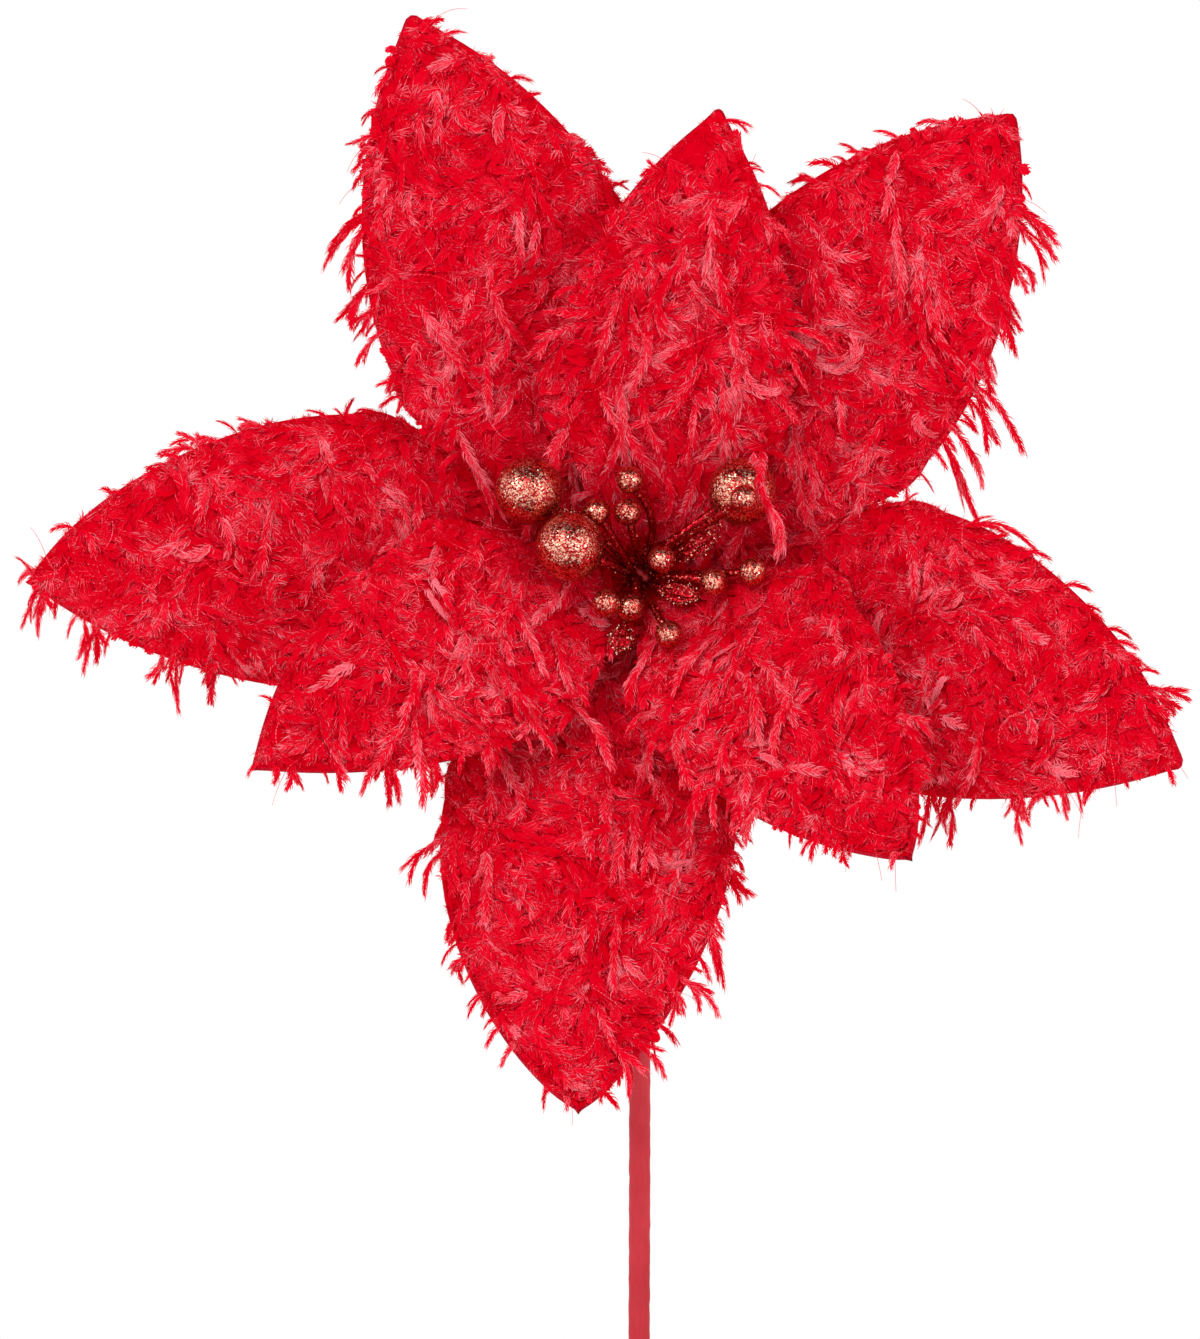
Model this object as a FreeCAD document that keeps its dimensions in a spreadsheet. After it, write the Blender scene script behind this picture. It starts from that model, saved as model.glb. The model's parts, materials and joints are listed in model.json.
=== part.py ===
import FreeCAD, Part
import math
import os
import re

import Sketcher
from FreeCAD import Placement, Rotation, Vector

# A poinsettia head of eight wired, feather-covered petals on a tape-wrapped wire stem.
# +Z runs up the stem from the centre of its cut lower end, the flower faces -Y, and +X is its right.
# The head has a frame of its own: origin where the outer petals' planes meet its axis,
# Z out of the flower's face, Y up the flower, X to its right.

# alias: (value in mm or degrees, what it is)
DIMENSIONS = {
    "stem_length": (410, "straight stem, from its cut end to the neck"),
    "core_wire_radius": (1.5, "steel wire inside the stem, the neck and the head"),
    "sleeve_radius": (2.8, "outside of the plastic sleeve on the stem wire"),
    "tape_radius": (3.2, "outside of the paper tape on the stem and the neck"),
    "neck_radius": (14, "centre line of the bend behind the flower"),
    "neck_bend": (84, "angle of that bend"),
    "neck_to_face": (20, "end of the bend to the head's origin"),
    "petal_wire_radius": (0.7, "steel wire along each petal"),
    "wire_clearance": (0.1, "between wires laid side by side"),
    "hinge_gap": (0.3, "between a wire's end and the ball end that turns beside it"),
    "root_bend_radius": (3, "bend of a petal wire out of the bundle"),
    "root_back": (-16, "back end of the petal wires in the bundle"),
    "binding_back": (-15.5, "back end of the wire that binds the bundle"),
    "binding_turns": (15, "turns of that wire"),
    "binding_wire_radius": (0.25, "half the thickness of that wire"),
    "collar_front": (-6, "front end of the tape collar over the binding"),
    "collar_wall": (0.6, "thickness of the tape collar"),
    "collar_taper": (3.4, "length over which the collar grows out of the neck"),
    "core_front": (-8, "where the stem's wire ends inside the bundle"),
    "outer_length": (174, "hinge to tip, straight"),
    "outer_rise": (10, "bow of the wire above that line"),
    "outer_hinge_radius": (8, "hinge from the head's axis"),
    "outer_hinge_height": (0, "hinge along the head's axis"),
    "outer_shoulder_x": (68, "end of the petal's straight side"),
    "outer_shoulder": (40, "half width there"),
    "outer_widest_x": (85, "place of the greatest width"),
    "outer_widest": (43.5, "half of the greatest width"),
    "inner_length": (138, "hinge to tip, straight"),
    "inner_rise": (6, "bow of the wire above that line"),
    "inner_hinge_radius": (6.4, "hinge from the head's axis"),
    "inner_hinge_height": (12, "hinge along the head's axis"),
    "inner_shoulder_x": (42, "end of the petal's straight side"),
    "inner_shoulder": (31, "half width there"),
    "inner_widest_x": (56, "place of the greatest width"),
    "inner_widest": (34.5, "half of the greatest width"),
    "petal_root_gap": (4.5, "hinge to the edge of the cloth"),
    "outer_root": (6.3, "half width of an outer petal's cloth at that edge"),
    "inner_root": (5, "half width of an inner petal's cloth at that edge"),
    "felt_thickness": (2.4, "back of a petal, with the wire in a channel inside it"),
    "plush_thickness": (2.2, "feather cloth on the front of a petal"),
    "wire_tip_gap": (7, "petal tip to the end of its wire"),
    "channel_tip_gap": (4, "petal tip to the end of the wire's channel"),
    "trim_margin": (20, "how far the blank that a petal is cut from stands out"),
    "knot_back": (14, "back face of the knot that holds the berry picks"),
    "knot_length": (5, "length of the knot"),
    "knot_radius": (5, "radius of the knot"),
    "knot_chamfer": (0.4, "chamfer of its two edges"),
    "ball_radius": (10, "the three large glitter balls"),
    "ball_twig_radius": (0.8, "their wires"),
    "berry_radius": (4.1, "the ten small glitter berries"),
    "berry_twig_radius": (0.7, "wires of the berries and the glitter leaves"),
    "twig_seat": (0.5, "depth of a wire in its ball, as a share of the ball's radius"),
    "outer_seat_radius": (4, "ring of wires near the rim of the knot"),
    "inner_seat_radius": (1.9, "ring of wires inside that one"),
    "leaf_width": (6.4, "width of a glitter leaf"),
    "leaf_thickness": (2.4, "thickness of a glitter leaf"),
    "leaf_seat": (2.5, "length of wire inside a glitter leaf"),
}

# name: (ring, direction round the head from +X towards the top, tilt forward out of the head's plane,
#        how much wider its left side is than half of it, seen from the hinge with the front up)
PETALS = {
    "petal_upper_left": ("outer", 112.7, 17.7, 4),
    "petal_upper_right": ("outer", 50.0, 22.0, -3),
    "petal_left": ("outer", -179.0, 6.6, -8),
    "petal_right": ("outer", -21.6, 23.0, 6),
    "petal_bottom": ("outer", -96.3, 25.0, -6),
    "petal_inner_top": ("inner", 80.0, 24.6, 1),
    "petal_inner_lower_left": ("inner", -150.5, 27.3, -4),
    "petal_inner_lower_right": ("inner", -49.6, 33.8, 4),
}

# name: (centre in the head's frame, seat's ring, seat's direction round the knot)
BALLS = {
    "ball_upper_left": ((-32.6, 22.2, 36), "outer", 125),
    "ball_left": ((-20.6, 5.0, 42), "outer", 180),
    "ball_upper_right": ((30.0, 21.3, 42), "outer", 65),
}

# name: (centre in the head's frame, seat's ring, seat's direction, bow forwards, bow to the left)
BERRIES = {
    "berry_top": ((-2.9, 25.3, 38), "outer", 93, 1.0, -5.0),
    "berry_upper_left": ((-12.8, 16.1, 35), "inner", 190, 2.0, 0.0),
    "berry_upper": ((-3.6, 16.0, 36), "inner", 85, 2.0, 0.0),
    "berry_upper_right": ((30.4, 17.4, 57), "outer", 38, 2.0, 0.0),
    "berry_middle": ((6.4, 1.9, 36), "inner", 10, 0.5, 0.0),
    "berry_right": ((21.7, -5.0, 38), "outer", -38, 4.0, 1.0),
    "berry_far_right": ((33.1, -2.3, 41), "outer", -14, 0.5, 0.0),
    "berry_lower_left": ((-10.0, -11.2, 38), "outer", -150, 2.0, 0.0),
    "berry_lower": ((-2.9, -11.9, 33), "inner", -100, 2.0, 0.0),
    "berry_bottom": ((8.5, -20.4, 38), "outer", -90, 2.5, 0.0),
}

# name: (base and tip in the head's frame, seat's ring, seat's direction, bow forwards, bow to the left)
LEAVES = {
    "glitter_leaf_right": ((7.0, -6.0, 27.5), (17.5, -8.6, 30.5), "outer", -65, 0.5, 0.0),
    "glitter_leaf_upper_right": ((12.5, 3.0, 31), (23.5, 12.0, 36), "outer", 12, 1.0, 0.0),
    "glitter_leaf_left": ((-15.2, 10.2, 32.5), (-23.2, 16.2, 32.8), "outer", 155, 1.0, 0.0),
    "glitter_leaf_bottom": ((-4.5, -17.5, 29), (-7.0, -25.0, 30), "outer", -121, 1.5, 0.0),
}

# the axes that a point's rows are named for
AXES = ("x", "y", "z")


def fill_sheet():
    """Put every driving dimension in one cell, with a note beside it, and return their aliases."""
    rows = [(alias, value, note) for alias, (value, note) in DIMENSIONS.items()]
    for name, (ring, direction, tilt, lean) in PETALS.items():
        rows.append((name + "_direction", direction, "degrees round the head"))
        rows.append((name + "_tilt", tilt, "degrees forward out of the head's plane"))
        rows.append((name + "_lean", lean, "wider on the left by this, narrower on the right"))
    for name, (centre, ring, direction) in BALLS.items():
        rows += point_rows(name, centre)
        rows.append((name + "_seat", direction, "degrees round the knot"))
    for name, (centre, ring, direction, forward, left) in BERRIES.items():
        rows += point_rows(name, centre)
        rows += seat_rows(name, direction, forward, left)
    for name, (base, tip, ring, direction, forward, left) in LEAVES.items():
        rows += point_rows(name + "_base", base)
        rows += point_rows(name + "_tip", tip)
        rows += seat_rows(name, direction, forward, left)
    for number, (alias, value, note) in enumerate(rows, start=1):
        sheet.set(f"A{number}", note)
        sheet.set(f"B{number}", str(value))
        sheet.setAlias(f"B{number}", alias)
    return {alias for alias, _, _ in rows}


def point_rows(name, point):
    return [(f"{name}_{axis}", value, "in the head's frame") for axis, value in zip(AXES, point)]


def seat_rows(name, direction, forward, left):
    return [(name + "_seat", direction, "degrees round the knot"),
            (name + "_forward", forward, "bow of its wire out of the face"),
            (name + "_left", left, "bow of its wire to the left, seen from the knot")]


def expand(formula):
    """Write a formula of plain aliases as an expression on the sheet."""
    return re.sub(r"[a-z]\w*", lambda word: "<<dims>>." * (word[0] in aliases) + word[0], formula)


def size(formula):
    return float(sheet.evalExpression(expand(formula)))


def bind(thing, **formulas):
    for name, formula in formulas.items():
        thing.setExpression(name, expand(formula))


def point(name):
    return Vector(*(size(f"{name}_{axis}") for axis in AXES))


def new_body(name):
    body = doc.addObject("PartDesign::Body", name)
    body.Label = name
    return body


def new_sketch(body, name, plane, offset=None):
    """A sketch on one of the body's own origin planes, or shifted off it."""
    sketch = body.newObject("Sketcher::SketchObject", name)
    planes = {feature.Role: feature for feature in body.Origin.OriginFeatures}
    sketch.AttachmentSupport = (planes[plane], [""])
    sketch.MapMode = "FlatFace"
    if offset:
        bind(sketch, **{".AttachmentOffset.Base.z": offset})
    return sketch


def fix(sketch, kind, *where, formula):
    """Constrain the sketch and bind the constraint to the sheet."""
    index = sketch.addConstraint(Sketcher.Constraint(kind, *where, size(formula)))
    bind(sketch, **{f"Constraints[{index}]": formula})


def fix_point(sketch, edge, end, corner):
    fix(sketch, "DistanceX", -1, 1, edge, end, formula=corner[0])
    fix(sketch, "DistanceY", -1, 1, edge, end, formula=corner[1])


def arc_between(start, end, radius, side):
    """The shorter arc from start to end, its centre on the left for side 1, on the right for side -1."""
    middle = (start + end) / 2
    half = (end - start).Length / 2
    left = Vector(start.y - end.y, end.x - start.x, 0).normalize()
    centre = middle + left * side * math.sqrt(radius ** 2 - half ** 2)
    return Part.Arc(start, centre - left * side * radius, end)


def draw_loop(sketch, corners, arcs=None):
    """A closed loop through corners of two formulas each; arcs[i] is (radius, side) of the edge after i."""
    arcs = arcs or {}
    places = [Vector(size(x), size(y), 0) for x, y in corners]
    edges = []
    ends = []
    for index, start in enumerate(places):
        end = places[(index + 1) % len(places)]
        radius, side = arcs.get(index, (None, 1))
        shape = arc_between(start, end, size(radius), side) if radius else Part.LineSegment(start, end)
        edges.append(sketch.addGeometry(shape, False))
        # A FreeCAD arc runs anticlockwise, so one with its centre on the right starts at its other end.
        ends.append((1, 2) if side > 0 else (2, 1))
    for index, edge in enumerate(edges):
        following = (index + 1) % len(edges)
        first, last = ends[index]
        fix_point(sketch, edge, first, corners[index])
        joined = (edge, last, edges[following], ends[following][0])
        sketch.addConstraint(Sketcher.Constraint("Coincident", *joined))
        if index in arcs:
            fix(sketch, "Radius", edge, formula=arcs[index][0])


def draw_circle(sketch, radius, x="0", y="0"):
    centre = Vector(size(x), size(y), 0)
    edge = sketch.addGeometry(Part.Circle(centre, Vector(0, 0, 1), size(radius)), False)
    fix_point(sketch, edge, 3, (x, y))
    fix(sketch, "Radius", edge, formula=radius)


def pad(body, sketch, name, length, both_ways=False):
    feature = body.newObject("PartDesign::Pad", name)
    feature.Profile = sketch
    feature.SideType = "Symmetric" if both_ways else "One side"
    bind(feature, Length=length)
    return feature


def revolve(body, sketch, name):
    """Turn a sketch on the XZ plane once round the body's Z axis."""
    feature = body.newObject("PartDesign::Revolution", name)
    feature.Profile = sketch
    feature.ReferenceAxis = (sketch, ["V_Axis"])
    feature.Angle = 360
    return feature


def cylinder(name, radius, length, placement):
    wire = doc.addObject("Part::Cylinder", name)
    wire.Label = name
    bind(wire, Radius=radius, Height=length)
    wire.Placement = placement
    return wire


def tube(name, inside, outside, length):
    """A straight tube standing on the stem's cut end."""
    body = new_body(name)
    sketch = new_sketch(body, name + "_ring", "XY_Plane")
    draw_circle(sketch, outside)
    draw_circle(sketch, inside)
    pad(body, sketch, name + "_length", length)
    return body


def bend(name, radius):
    """One torus along the neck, from the top of the stem to the back of the head."""
    torus = doc.addObject("Part::Torus", name)
    torus.Label = name
    bind(torus, Radius1="neck_radius", Radius2=radius, Angle3="neck_bend")
    centre = Vector(0, -size("neck_radius"), size("stem_length"))
    torus.Placement = Placement(centre, Rotation(Vector(0, 1, 0), Vector(0, 0, 1), Vector(1, 0, 0), "ZXY"))
    return torus


def head_frame():
    """Where the head's frame stands: past the bend, and turned by it."""
    bend_angle = math.radians(size("neck_bend"))
    radius = size("neck_radius")
    forward = Vector(0, -math.sin(bend_angle), math.cos(bend_angle))
    rise = size("stem_length") + radius * math.sin(bend_angle)
    bend_end = Vector(0, radius * (math.cos(bend_angle) - 1), rise)
    turned = Rotation(Vector(1, 0, 0), size("neck_bend"))
    return Placement(bend_end + forward * size("neck_to_face"), turned)


def along_head(height):
    return head * Placement(Vector(0, 0, height), Rotation())


def petal_frame(name):
    """X along the petal from its hinge to its tip, Z out of its front."""
    ring = PETALS[name][0]
    turn = Placement(Vector(0, 0, size(ring + "_hinge_height")),
                     Rotation(Vector(0, 0, 1), size(name + "_direction")))
    tilt = Placement(Vector(size(ring + "_hinge_radius"), 0, 0),
                     Rotation(Vector(0, 1, 0), -size(name + "_tilt")))
    return head * turn * tilt


def bow_radius(ring):
    """Formula for the radius of a petal's wire."""
    return f"( ( {ring}_length / 2 ) ^ 2 + {ring}_rise ^ 2 ) / ( 2 * {ring}_rise )"


def petal_layer(petal, layer, inside, outside):
    """A bowed sheet between two offsets from the wire's line, cut to the petal's outline."""
    ring = PETALS[petal][0]
    name = f"{petal}_{layer}"
    body = new_body(name)
    bow = bow_radius(ring)
    band = new_sketch(body, name + "_band", "XZ_Plane")
    back = f"( {inside} )"
    front = f"( {outside} )"
    corners = [("0", back), (f"{ring}_length", back), (f"{ring}_length", front), ("0", front)]
    draw_loop(band, corners, {0: (f"{bow} + {inside}", -1), 2: (f"{bow} + {outside}", 1)})
    pad(body, band, name + "_blank", f"2 * {ring}_widest + trim_margin", both_ways=True)
    outline = new_sketch(body, name + "_outline", "XY_Plane")
    low = "0 - trim_margin"
    left = f"{ring}_widest + trim_margin"
    right = f"0 - {ring}_widest - trim_margin"
    far = f"{ring}_length + trim_margin"
    draw_loop(outline, [(low, right), (far, right), (far, left), (low, left)])
    draw_outline(outline, ring, petal + "_lean")
    trim = body.newObject("PartDesign::Pocket", name + "_trim")
    trim.Profile = outline
    trim.SideType = "Symmetric"
    bind(trim, Length=f"{ring}_length")
    body.Placement = petal_frame(petal)
    return body


def draw_outline(sketch, ring, lean):
    """Straight sides from the root, a rounded shoulder, and one long arc each side to a pointed tip."""
    run = f"( {ring}_widest_x - {ring}_shoulder_x )"
    climb = f"( {ring}_widest - {ring}_shoulder )"
    reach = f"( {ring}_length - {ring}_widest_x )"
    near = f"( {run} ^ 2 + {climb} ^ 2 ) / ( 2 * {climb} )"
    left = [(f"{ring}_widest_x", f"{ring}_widest + {lean}"),
            (f"{ring}_shoulder_x", f"{ring}_shoulder + {lean}"), ("petal_root_gap", f"{ring}_root")]
    right = [("petal_root_gap", f"0 - {ring}_root"), (f"{ring}_shoulder_x", f"{lean} - {ring}_shoulder"),
             (f"{ring}_widest_x", f"{lean} - {ring}_widest")]
    sides = [f"( {ring}_widest {sign} {lean} )" for sign in "-+"]
    far_right, far_left = (f"( {reach} ^ 2 + {side} ^ 2 ) / ( 2 * {side} )" for side in sides)
    draw_loop(sketch, right + [(f"{ring}_length", "0")] + left,
              {1: (near, 1), 2: (far_right, 1), 3: (far_left, 1), 4: (near, 1)})


def cut_channel(body, ring):
    """The closed channel in the felt that the wire lies in, open only at the petal's root."""
    name = body.Name + "_channel"
    sketch = new_sketch(body, name + "_section", "YZ_Plane", offset=f"{ring}_length / 2")
    draw_circle(sketch, "petal_wire_radius + wire_clearance", "0", f"{ring}_rise")
    axis = sketch.addGeometry(Part.LineSegment(Vector(-1, 0, 0), Vector(1, 0, 0)), True)
    height = f"{ring}_rise - {bow_radius(ring)}"
    for end, x in ((1, "0 - felt_thickness"), (2, "felt_thickness")):
        fix_point(sketch, axis, end, (x, height))
    groove = body.newObject("PartDesign::Groove", name)
    groove.Profile = sketch
    groove.ReferenceAxis = (sketch, ["Axis0"])
    groove.Midplane = True
    bind(groove, Angle=f"2 * asin(( {ring}_length / 2 - channel_tip_gap ) / ( {bow_radius(ring)} ) )")
    return groove


def petal_wire(petal):
    """The bowed wire, with a ball end on the hinge."""
    ring = PETALS[petal][0]
    name = petal + "_wire"
    bow = size(bow_radius(ring))
    half = size(f"{ring}_length / 2")
    root_angle = math.asin(half / bow)
    sweep = doc.addObject("Part::Torus", name + "_bow")
    bind(sweep, Radius1=bow_radius(ring), Radius2="petal_wire_radius",
         Angle3=f"asin(( {ring}_length / 2 ) / ( {bow_radius(ring)} ) )"
                f" + asin(( {ring}_length / 2 - wire_tip_gap ) / ( {bow_radius(ring)} ) )")
    to_root = Vector(-math.sin(root_angle), 0, math.cos(root_angle))
    along = Vector(math.cos(root_angle), 0, math.sin(root_angle))
    sweep.Placement = Placement(Vector(half, 0, size(f"{ring}_rise") - bow),
                                Rotation(to_root, along, Vector(0, 1, 0), "ZXY"))
    ball = doc.addObject("Part::Sphere", name + "_ball")
    bind(ball, Radius="petal_wire_radius")
    wire = doc.addObject("Part::Fuse", name)
    wire.Label = name
    wire.Base = sweep
    wire.Tool = ball
    wire.Placement = petal_frame(petal)
    return wire


def make_petal(name):
    half_felt = "felt_thickness / 2"
    felt = petal_layer(name, "felt", "0 - " + half_felt, half_felt)
    cut_channel(felt, PETALS[name][0])
    plush = petal_layer(name, "plush", half_felt, half_felt + " + plush_thickness")
    return [felt, plush, petal_wire(name)]


def round_wire(edges, radius):
    """A solid round wire along a path of touching edges."""
    path = Part.Wire(edges)
    start = edges[0].valueAt(edges[0].FirstParameter)
    heading = edges[0].tangentAt(edges[0].FirstParameter)
    section = Part.Wire([Part.Circle(start, heading, radius).toShape()])
    return path.makePipeShell([section], True, False)


def petal_root(name, ring_radius):
    """One petal wire in the bundle: forward, round a bend, and out to just short of its petal's ball end."""
    ring = PETALS[name][0]
    bow = math.asin(size(f"{ring}_length / 2") / size(bow_radius(ring)))
    slope = math.radians(size(name + "_tilt")) + bow
    gap = size("petal_wire_radius + hinge_gap")
    bend_radius = size("root_bend_radius")
    outward = Vector(math.cos(slope), 0, math.sin(slope))
    hinge = Vector(size(ring + "_hinge_radius"), 0, size(ring + "_hinge_height"))
    stub_end = hinge - outward * gap
    bend_end_x = ring_radius + bend_radius * (1 - math.sin(slope))
    stub_start = stub_end - outward * ((stub_end.x - bend_end_x) / outward.x)
    centre = Vector(ring_radius + bend_radius, 0, stub_start.z - bend_radius * math.cos(slope))
    bend_start = centre - Vector(bend_radius, 0, 0)
    half_turn = (math.pi / 2 - slope) / 2
    bend_middle = centre + Vector(-math.cos(half_turn), 0, math.sin(half_turn)) * bend_radius
    back = Vector(ring_radius, 0, size("root_back"))
    edges = [Part.LineSegment(back, bend_start).toShape(),
             Part.Arc(bend_start, bend_middle, stub_start).toShape(),
             Part.LineSegment(stub_start, stub_end).toShape()]
    root = round_wire(edges, size("petal_wire_radius"))
    root.Placement = Placement(Vector(), Rotation(Vector(0, 0, 1), size(name + "_direction")))
    return root


def group(name, shapes, placement):
    """Several separate solids in one node."""
    feature = doc.addObject("Part::Feature", name)
    feature.Label = name
    feature.Shape = Part.makeCompound(shapes)
    feature.Placement = placement
    return feature


def make_stem():
    cores = [cylinder("stem_wire", "core_wire_radius", "stem_length", Placement())]
    sleeve = tube("stem_sleeve", "core_wire_radius", "sleeve_radius", "stem_length")
    tape = tube("stem_tape", "sleeve_radius", "tape_radius", "stem_length")
    neck_wire = bend("neck_wire", "core_wire_radius")
    outside = bend("neck_tape_outside", "tape_radius")
    inside = bend("neck_tape_inside", "core_wire_radius")
    neck_tape = doc.addObject("Part::Cut", "neck_tape")
    neck_tape.Label = "neck_tape"
    neck_tape.Base = outside
    neck_tape.Tool = inside
    return cores + [sleeve, tape, neck_wire, neck_tape]


# radii of the bundle behind the petals, from the middle out
INNER_RING = "( core_wire_radius + petal_wire_radius + wire_clearance )"
OUTER_RING = f"( {INNER_RING} + 2 * petal_wire_radius + wire_clearance )"
BINDING_INSIDE = f"( {OUTER_RING} + petal_wire_radius + wire_clearance )"
# A crest's arc is a little wider than a half circle's, which keeps its centre on one side.
CREST_EASE = 1.02
COLLAR_INSIDE = f"( {BINDING_INSIDE} + 2 * binding_wire_radius + wire_clearance )"


def make_binding():
    """Thin wire wound round the bundle: touching turns, each a half circle outside."""
    body = new_body("binding_wire")
    sketch = new_sketch(body, "binding_turns_section", "XZ_Plane")
    turns = int(size("binding_turns"))
    inside = BINDING_INSIDE
    middle = f"{BINDING_INSIDE} + binding_wire_radius"
    front = "binding_back + 2 * binding_wire_radius * binding_turns"
    steps = [(middle, f"binding_back + 2 * binding_wire_radius * {turn}") for turn in range(turns)]
    corners = [(inside, front), (inside, "binding_back")] + steps + [(middle, front)]
    crests = {index + 2: (f"binding_wire_radius * {CREST_EASE}", 1) for index in range(turns)}
    draw_loop(sketch, corners, crests)
    revolve(body, sketch, "binding_winding")
    body.Placement = head
    return body


def make_collar():
    """Paper tape over the binding, tapering back to the neck."""
    body = new_body("collar_tape")
    sketch = new_sketch(body, "collar_section", "XZ_Plane")
    back = "0 - neck_to_face"
    outside = f"{COLLAR_INSIDE} + collar_wall"
    step = "root_back - wire_clearance"
    draw_loop(sketch, [("core_wire_radius", back), ("tape_radius", back),
                       (outside, back + " + collar_taper"), (outside, "collar_front"),
                       (COLLAR_INSIDE, "collar_front"), (COLLAR_INSIDE, step), ("core_wire_radius", step)])
    revolve(body, sketch, "collar_turn")
    body.Placement = head
    return body


def make_bundle():
    """What joins the petals to the stem: the wires' roots, bound and taped round the stem's own wire."""
    back = "0 - neck_to_face"
    start = along_head(size(back))
    head_wire = cylinder("head_wire", "core_wire_radius", "core_front + neck_to_face", start)
    rings = {"outer": size(OUTER_RING), "inner": size(INNER_RING)}
    roots = [petal_root(name, rings[ring]) for name, (ring, *_) in PETALS.items()]
    return [head_wire, group("petal_wire_roots", roots, head), make_binding(), make_collar()]


def make_knot():
    """Taped knot at the front, where the wires of the berries come together."""
    start = along_head(size("core_front"))
    pick_wire = cylinder("pick_wire", "core_wire_radius", "knot_back - core_front", start)
    body = new_body("pick_knot")
    sketch = new_sketch(body, "pick_knot_section", "XZ_Plane")
    front = "knot_back + knot_length"
    edge = "knot_radius - knot_chamfer"
    draw_loop(sketch, [("0", "knot_back"), (edge, "knot_back"),
                       ("knot_radius", "knot_back + knot_chamfer"),
                       ("knot_radius", front + " - knot_chamfer"), (edge, front), ("0", front)])
    revolve(body, sketch, "pick_knot_turn")
    body.Placement = head
    return [pick_wire, body]


def seat(name, ring, raised="0"):
    """The place on the front of the knot where a wire starts."""
    direction = math.radians(size(name + "_seat"))
    radius = size(ring + "_seat_radius")
    return Vector(radius * math.cos(direction), radius * math.sin(direction),
                  size("knot_back + knot_length + " + raised))


def bowed_wire(start, end, forward, left, radius):
    """A wire on one arc from start to end, bowed forwards and to the left, and cut flush with the knot."""
    run = (end - start).normalize()
    face = Vector(0, 0, 1)
    sideways = face.cross(run).normalize()
    upwards = run.cross(sideways)
    middle = (start + end) / 2 + upwards * forward + sideways * left
    bow = Part.Arc(start, middle, end).toShape()
    heading = bow.tangentAt(bow.FirstParameter)
    lead = Part.LineSegment(start - heading * 2 * radius, start).toShape()
    knot = Part.makeCylinder(size("knot_radius"), size("knot_length"), Vector(0, 0, size("knot_back")))
    return round_wire([lead, bow], radius).cut(knot)


def seated_ball(name, radius, centre, wire):
    """A ball with a hole of the wire's own shape."""
    ball = doc.addObject("Part::Sphere", name + "_whole")
    bind(ball, Radius=radius)
    ball.Placement = head * Placement(centre, Rotation())
    return drilled(name, ball, wire)


def drilled(name, base, wire):
    cut = doc.addObject("Part::Cut", name)
    cut.Label = name
    cut.Base = base
    cut.Tool = wire
    return cut


def wire_end(start, centre, depth):
    """The end of a wire that runs at a ball and stops depth short of its middle."""
    return centre - (centre - start).normalize() * depth


def make_large_balls():
    """Each large ball with its own straight wire, whose ball end turns just off the knot."""
    made = []
    for name, (_, ring, _) in BALLS.items():
        radius = size("ball_twig_radius")
        start = seat(name, ring, "ball_twig_radius + hinge_gap")
        centre = point(name)
        end = wire_end(start, centre, size("ball_radius * ( 1 - twig_seat )"))
        wire = round_wire([Part.LineSegment(start, end).toShape()], radius)
        wire = wire.fuse(Part.makeSphere(radius, start))
        twig = group(name.replace("ball", "ball_twig"), wire.Solids, head)
        made += [twig, seated_ball(name, "ball_radius", centre, twig)]
    return made


def make_berries():
    """Ten small berries and four glitter leaves, on bowed wires out of the knot."""
    made = []
    wires = []
    radius = size("berry_twig_radius")
    for name, (_, ring, _, _, _) in BERRIES.items():
        start = seat(name, ring)
        centre = point(name)
        end = wire_end(start, centre, size("berry_radius * ( 1 - twig_seat )"))
        bow = (size(name + "_forward"), size(name + "_left"))
        wires.append(bowed_wire(start, end, *bow, radius))
        tool = group(name + "_wire", wires[-1:], head)
        made.append(seated_ball(name, "berry_radius", centre, tool))
    for name, (_, _, ring, _, _, _) in LEAVES.items():
        base = point(name + "_base")
        tip = point(name + "_tip")
        run = (tip - base).normalize()
        end = base + run * size("leaf_seat")
        bow = (size(name + "_forward"), size(name + "_left"))
        wires.append(bowed_wire(seat(name, ring), end, *bow, radius))
        tool = group(name + "_wire", wires[-1:], head)
        made.append(drilled(name, make_leaf(name, base, tip), tool))
    made.append(group("berry_twigs", wires, head))
    return made


def make_leaf(name, base, tip):
    """A flattened leaf from its base to its tip, facing out of the flower."""
    leaf = doc.addObject("Part::Ellipsoid", name + "_whole")
    leaf.Angle1 = -90
    leaf.Angle2 = 90
    leaf.Angle3 = 360
    leaf.Radius2 = (tip - base).Length / 2
    bind(leaf, Radius3="leaf_width / 2", Radius1="leaf_thickness / 2")
    turned = Rotation((tip - base).normalize(), Vector(), Vector(0, 0, 1), "XZY")
    leaf.Placement = head * Placement((base + tip) / 2, turned)
    return leaf


def check_document(subparts):
    """Stop before writing anything if a feature failed or a shape isn't sound."""
    for thing in doc.Objects:
        if "Invalid" in thing.State or "Error" in thing.State:
            raise SystemExit(f"{thing.Name} failed: {thing.State}")
    for subpart in subparts:
        if subpart.Shape.isNull() or not subpart.Shape.isValid():
            raise SystemExit(f"{subpart.Label} has no sound shape")


doc = FreeCAD.newDocument("poinsettia_pick")
sheet = doc.addObject("Spreadsheet::Sheet", "Sheet")
sheet.Label = "dims"
aliases = fill_sheet()
doc.recompute()
head = head_frame()
parts = make_stem() + make_bundle()
for petal in PETALS:
    parts += make_petal(petal)
parts += make_knot() + make_large_balls() + make_berries()
doc.recompute()
check_document(parts)
os.makedirs("parts", exist_ok=True)
for part in parts:
    part.Shape.exportStep(f"parts/{part.Label}.step")
    print(f"{part.Label}: {len(part.Shape.Solids)} solids, {part.Shape.Volume:.1f} mm3")
print(len(parts), "nodes")
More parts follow.
